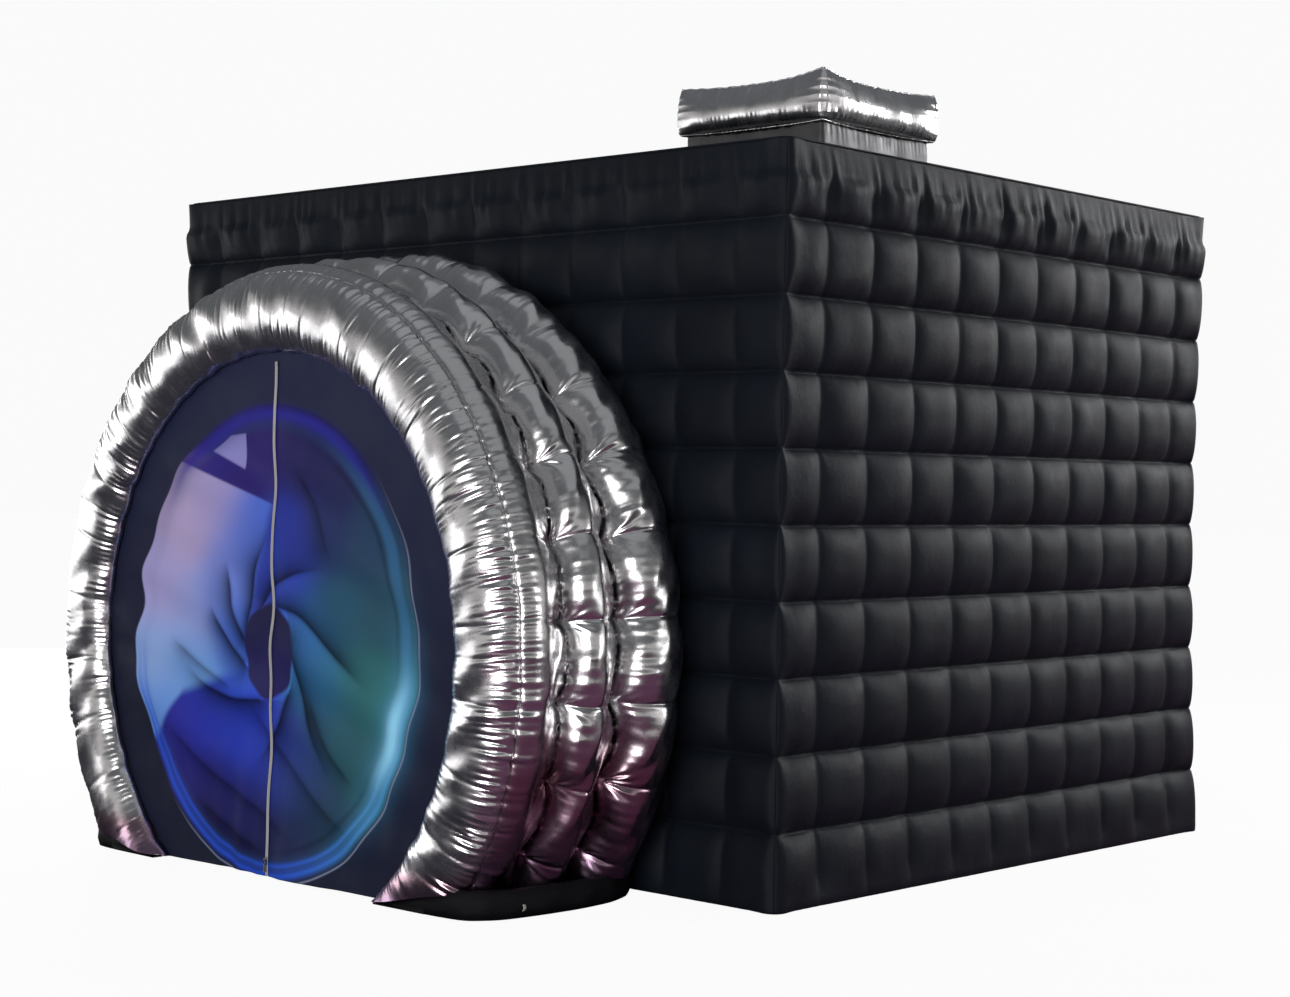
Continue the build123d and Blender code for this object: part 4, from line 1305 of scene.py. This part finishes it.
def inflated_box(name, low_z, high_z, half, pull, swell, crown, peak, material, pleats, seed, nodes):
    """A sewn and blown up box: side panels that swell between their seams, a crowned top panel
    and a floor. peak lifts the corner towards the lens side."""
    place = np.linspace(0, 4, int(4 * 110 * DENSE) + 1)
    height_share = np.linspace(0, 1, int(46 * DENSE))
    h, p = np.meshgrid(height_share, place, indexing="ij")
    x, y, away_x, away_y, along = square_path(p, half, pull, 0.020)
    near_corner = np.exp(-(1 - np.abs(along)) * half / 0.055)
    belly = h**0.66
    full = np.clip(4 * belly * (1 - belly), 0, 1) ** 0.62
    out = swell * full * (0.35 + 0.65 * np.clip(1 - np.abs(along) ** 4, 0, 1))
    arc = p * 2 * half
    gather = 0.0012 * creased(arc + 0.01 * h, 0.026, 12, seed) * np.exp(-(((1 - h) / 0.22) ** 2))
    gather += 0.0016 * creased(arc, 0.020, 12, seed + 1) * np.exp(-((h / 0.26) ** 2))
    out = out + gather + 0.0022 * ripple(arc + 0.05 * h, 0.22, seed=seed + 2) * full
    pleat = pleats * creased(h * (high_z - low_z), 0.030, 7, seed + 3) * near_corner * full
    out = out + pleat
    diagonal_x = np.where(near_corner > 0.02, np.sign(x), 0) * near_corner
    diagonal_y = np.where(near_corner > 0.02, np.sign(y), 0) * near_corner
    blend_out = 1 - 0.5 * near_corner
    px = x + out * (away_x * blend_out + 0.35 * diagonal_x)
    py = y + out * (away_y * blend_out + 0.35 * diagonal_y)
    # corner peak: 1 at the corner at (+x, -y), falling along both sides
    to_peak = np.hypot(x - half, y + half)
    lift_peak = peak * np.exp(-((to_peak / 0.15) ** 2))
    sag = -0.010 * np.clip(1 - np.abs(along) ** 2, 0, 1)
    top = high_z - peak + lift_peak + sag + 0.0015 * ripple(arc, 0.05, seed=seed + 4)
    z = low_z + h * (top - low_z)
    sides = np.stack([px + cushion_x, py + cushion_y, z], -1)
    rim = sides[-1]
    rings = np.linspace(1, 0, 26)[:, None]
    middle = np.array([cushion_x, cushion_y, 0])
    edge_in = 1 - rings
    even_rim = rim.copy()
    for _ in range(200):
        even_rim[1:-1] = 0.25 * even_rim[:-2] + 0.5 * even_rim[1:-1] + 0.25 * even_rim[2:]
        even_rim[[0, -1]] = 0.5 * (even_rim[1] + even_rim[-2])
    even_rim = even_rim + (rim - even_rim) * np.exp(-((edge_in / 0.10) ** 2))[..., None]
    lid = middle + (even_rim - middle) * rings[..., None]
    lid[..., 2] = even_rim[..., 2] * (1 - edge_in**2) + (high_z - peak) * edge_in**2
    lid[..., 2] += crown * (1 - rings**2.4) * (1 - 0.3 * edge_in)
    lid_folds = creased(np.broadcast_to(arc[-1], lid.shape[:2]), 0.03, 12, seed + 6)
    lid[..., 2] += 0.0015 * lid_folds * np.exp(-((edge_in / 0.22) ** 2)) * (rings > 0.02)
    foot = sides[0]
    under = middle + (foot - middle) * np.linspace(0, 1, 6)[:, None, None]
    under[..., 2] = foot[None, :, 2]
    grid = np.concatenate([under[:-1], sides, lid[1:]])
    piece = grid_object(name, grid)
    clean = bpy.data.meshes.new(name)
    mesh = bmesh.new()
    mesh.from_mesh(piece.data)
    bmesh.ops.remove_doubles(mesh, verts=mesh.verts, dist=0.0002)
    bmesh.ops.recalc_face_normals(mesh, faces=mesh.faces)
    mesh.to_mesh(clean)
    mesh.free()
    piece.data = clean
    paint(piece, material)
    finish_piece(piece, "booth", "silver_foil", *nodes)
    return piece, rim, foot


plinth, _, _ = inflated_box(
    "plinth_foil_box", plinth_low.z - 0.012, plinth_high.z, cushion_half - 0.012, 0.006, 0.010, 0.0, 0.0,
    plinth_foil, 0.002, 601, ["viewfinder_plinth"],
)
cushion, cushion_rim, cushion_foot = inflated_box(
    "viewfinder_foil_cushion", plinth_high.z + 0.001, cushion_high.z + 0.008, cushion_half + 0.006,
    0.035, 0.062, 0.006, 0.012, face_foil, 0.0016, 611, ["viewfinder_cushion", "viewfinder_base_panel"],
)
piping("cushion_top_welt", cushion_rim[:-1], 0.0028, silver_foil, "silver_foil", True)
piping("cushion_foot_welt", cushion_foot[:-1], 0.0032, silver_foil, "silver_foil", True)


# ------------------------------------------------------------------ rear wall: tabs and storm flap
def peg_tab(name, side):
    """A flat webbing tab on the ground with a round hole for its eyelet."""
    low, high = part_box("anchor_tabs")
    eye_low, eye_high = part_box("anchor_eyelets")
    centre_x = side * (high.x - 0.030)
    eye_y = (eye_low.y + eye_high.y) / 2
    radii = np.linspace(0, 1, 9)
    turn = np.linspace(0, 2 * math.pi, 65)
    r, t = np.meshgrid(radii, turn, indexing="ij")
    half_x, front, back = 0.030, eye_y - low.y + 0.06, high.y - eye_y
    reach_y = np.where(np.sin(t) > 0, back, front)
    power = 6.0
    outline = np.abs(np.cos(t) / half_x) ** power + np.abs(np.sin(t) / reach_y) ** power
    scale = outline ** (-1 / power)
    hole = 0.0066
    radius = hole + r * (scale - hole)
    x = centre_x + radius * np.cos(t)
    y = eye_y + radius * np.sin(t)
    stitch = 0.0006 * np.exp(-(((r - 0.88) / 0.05) ** 2))
    z = high.z - stitch + 0.0008 * ripple(x + y, 0.03, seed=701) * r
    piece = grid_object(name, np.stack([x, y, z], -1))
    paint(piece, black_tape)
    thicken(piece, high.z - low.z)
    return finish_piece(piece, "booth", "black_webbing", "anchor_tabs")


peg_tab("peg_tab_left", -1)
peg_tab("peg_tab_right", 1)


def storm_flap():
    """The cloth flap over the deflation zip: hemmed on three sides and a little wavy."""
    low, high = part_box("vent_storm_flap")
    v, u = np.meshgrid(np.linspace(0, 1, 40), np.linspace(0, 1, 220), indexing="ij")
    x = low.x + u * (high.x - low.x)
    z = high.z + 0.004 - v * (high.z + 0.004 - low.z)
    edge = np.minimum(np.minimum(u, 1 - u) * (high.x - low.x), (1 - v) * (high.z - low.z))
    hem = 0.0012 * (edge < 0.014) - 0.0010 * np.exp(-(((edge - 0.014) / 0.0015) ** 2))
    wave = 0.0030 * ripple(x, 0.16, seed=711) * v**1.5
    y = (low.y + high.y) / 2 + 0.001 + hem + wave
    piece = grid_object("storm_flap_cloth", np.stack([x, y, z], -1), flip=True)
    dress(piece, black_oxford, 0.001, "vent_flap", "black_oxford", "vent_storm_flap", offset=0.0)


def flap_binding():
    """The folded tape that sews the storm flap to the wall, rounded over its top."""
    low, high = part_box("vent_flap_binding")
    turn = np.linspace(-math.pi / 2, math.pi / 2, 14)
    x = np.linspace(low.x, high.x, 160)
    a, u = np.meshgrid(turn, x, indexing="ij")
    y = low.y + (high.y - low.y) * np.cos(a) ** 0.6
    z = (low.z + high.z) / 2 + (high.z - low.z) / 2 * np.sin(a)
    z = z + 0.0004 * ripple(u, 0.012, seed=721)
    piece = grid_object("storm_flap_binding", np.stack([u, y, z], -1))
    return dress(piece, black_tape, 0.0012, "booth", "black_webbing", "vent_flap_binding")


def vent_zip():
    """The deflation zip: two tapes and two ridged coils."""
    low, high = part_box("vent_zip_tape")
    middle = (low.z + high.z) / 2
    for number, up in enumerate((-1, 1)):
        off_middle = np.linspace(0.0012, (high.z - low.z) / 2, 6)
        v, u = np.meshgrid(off_middle, np.linspace(low.x, high.x, 200), indexing="ij")
        y = low.y + 0.001 + 0.0004 * ripple(u, 0.05, seed=731 + number)
        tape = grid_object(f"vent_zip_cloth_{number}", np.stack([u, y, middle + up * v], -1), flip=up > 0)
        dress(tape, black_tape, 0.0009, "booth", "black_zip", "vent_zip_tape", offset=0.0)
        x = np.arange(low.x + 0.01, high.x - 0.01, 0.0012)
        angle = np.linspace(0, 2 * math.pi, 9)
        a, u = np.meshgrid(angle, x, indexing="ij")
        radius = 0.0014 * (1 + 0.15 * np.sin(2 * math.pi * u / 0.0036))
        z = middle + up * 0.0024 + radius * np.cos(a)
        y = low.y + 0.0026 + radius * np.sin(a)
        coil = grid_object(f"vent_zip_coil_{number}", np.stack([u, y, z], -1))
        paint(coil, black_tape)
        finish_piece(coil, "booth", "black_zip")


flap_binding()
storm_flap()
vent_zip()


# ------------------------------------------------------------------ hard parts keep their CAD shape
HARD_PARTS = [
    (plated_zinc, ["zip_slider", "zip_pull", "vent_zip_slider", "anchor_eyelets"]),
    (black_plastic, [
        "blower_flange", "blower_clamp_ring", "blower_housing", "blower_intake_grille",
        "blower_control_box",
    ]),
    (grey_plastic, ["blower_impeller"]),
    (red_plastic, ["blower_switch"]),
    (turned_steel, ["blower_motor", "blower_shaft", "blower_screws", "blower_power_inlet"]),
]
for material, nodes in HARD_PARTS:
    for node in nodes:
        paint_node(node, material)


# ------------------------------------------------------------------ camera, floor and light
camera_data = bpy.data.cameras.new("camera")
camera = bpy.data.objects.new("camera", camera_data)
bpy.context.scene.collection.objects.link(camera)
bpy.context.scene.camera = camera
# The camera's turn and tilt in radians, its place from the cube's middle, and its lens in mm
yaw, pitch, roll = 0.742, -0.007, 0.018
camera_place = (6.199, body_y - 7.014, 1.377)
forward = Vector((-math.sin(yaw) * math.cos(pitch), math.cos(yaw) * math.cos(pitch), math.sin(pitch)))
level_right = Vector((math.cos(yaw), math.sin(yaw), 0))
level_up = level_right.cross(forward)
right_axis = math.cos(roll) * level_right + math.sin(roll) * level_up
up_axis = math.cos(roll) * level_up - math.sin(roll) * level_right
turned = Matrix([(right_axis[i], up_axis[i], -forward[i], 0) for i in range(3)] + [(0, 0, 0, 1)])
camera.matrix_world = Matrix.Translation(camera_place) @ turned
camera_data.sensor_width = 36
camera_data.lens = 63.6
camera_data.clip_end = 200

FLOOR_SIZE = 60
FLOOR_TONE_REACH = 8.0
# What the silver and the walls reflect of the floor, by X; the camera sees a plain pale floor
FLOOR_TONES = [
    (0.12, (0.10, 0.095, 0.12)),
    (0.20, (0.28, 0.11, 0.21)),
    (0.48, (0.28, 0.11, 0.21)),
    (0.62, (0.12, 0.11, 0.12)),
]
floor_points = [(x * FLOOR_SIZE, y * FLOOR_SIZE, 0) for x, y in ((-1, -1), (1, -1), (1, 1), (-1, 1))]
floor = make_object("floor", floor_points, [(0, 1, 2, 3)])
floor_material, floor_tree, floor_shader = new_material("floor")
floor_cloud = noise(floor_tree, 0.6, 2.0)
floor_tone = ramp(floor_tree, floor_cloud.outputs["Fac"], [(0.3, grey(0.045)), (0.7, grey(0.055))])
floor_tree.links.new(floor_tone.outputs["Color"], floor_shader.inputs["Base Color"])
floor_shader.inputs["Roughness"].default_value = 0.9
floor_shader.inputs["Specular IOR Level"].default_value = 0.1
floor_shader.inputs["Emission Color"].default_value = (1, 1, 1, 1)
floor_shader.inputs["Emission Strength"].default_value = 0.945
dim_floor = add_node(floor_tree, "ShaderNodeBsdfDiffuse")
dim_tone = ramp(floor_tree, along_axis(floor_tree, "Object", "X", 0.0, FLOOR_TONE_REACH), FLOOR_TONES)
floor_tree.links.new(dim_tone.outputs["Color"], dim_floor.inputs["Color"])
show_camera(floor_tree, dim_floor.outputs["BSDF"], floor_shader.outputs["BSDF"], "Material Output")
paint(floor, floor_material)


# The room's tone by height, from below to straight up, as every ray but the camera's sees it
ROOM_TONES = [
    (0.0, (0.05, 0.04, 0.045)),
    (0.49, (0.12, 0.10, 0.11)),
    (0.53, (0.66, 0.64, 0.63)),
    (0.59, (0.50, 0.49, 0.48)),
    (0.68, (0.095, 0.10, 0.105)),
    (1.0, (0.13, 0.14, 0.15)),
]


def studio_world():
    """A dim studio that lights the object, behind a plain pale backdrop."""
    world = bpy.data.worlds.new("studio")
    bpy.context.scene.world = world
    world.use_nodes = True
    tree = world.node_tree
    room = tree.nodes["Background"]
    tone = ramp(tree, along_axis(tree, "Generated", "Z", -1.0, 1.0), ROOM_TONES)
    tree.links.new(tone.outputs["Color"], room.inputs["Color"])
    room.inputs["Strength"].default_value = 1.0
    backdrop = tree.nodes.new("ShaderNodeBackground")
    backdrop.inputs["Color"].default_value = (0.955, 0.955, 0.96, 1)
    show_camera(tree, room.outputs["Background"], backdrop.outputs["Background"], "World Output")


studio_world()


def soft_box(name, place, target, size, power):
    """A rectangular studio light at place, facing target."""
    data = bpy.data.lights.new(name, "AREA")
    data.shape = "RECTANGLE"
    data.size, data.size_y = size
    data.energy = power
    light = bpy.data.objects.new(name, data)
    bpy.context.scene.collection.objects.link(light)
    light.location = place
    light.rotation_euler = (Vector(target) - Vector(place)).to_track_quat("-Z", "Y").to_euler()


# Name, place, what it faces, width and height, watts
SOFT_BOXES = [
    ("key", (4.6, 9.0, 4.4), (1.6, 0.8, 1.2), (2.6, 2.6), 360),
    ("top", (3.0, -1.0, 8.0), (0.5, 0, 0), (9, 9), 42),
    ("right_window", (9.0, 3.2, 1.75), (1.2, -1.4, 1.1), (3.0, 1.4), 55),
    ("front_window", (4.5, -9.5, 1.4), (0.8, -1.0, 0.7), (5.0, 2.6), 300),
    ("face_window", (-10.0, -6.0, 1.5), (0.0, -1.8, 0.7), (12.0, 3.4), 205),
    ("left_window", (-9.5, 2.5, 1.4), (-1.0, -1.5, 0.8), (6, 4), 210),
]
for light_settings in SOFT_BOXES:
    soft_box(*light_settings)

scene_view = bpy.context.scene.view_settings
scene_view.view_transform = "Standard"
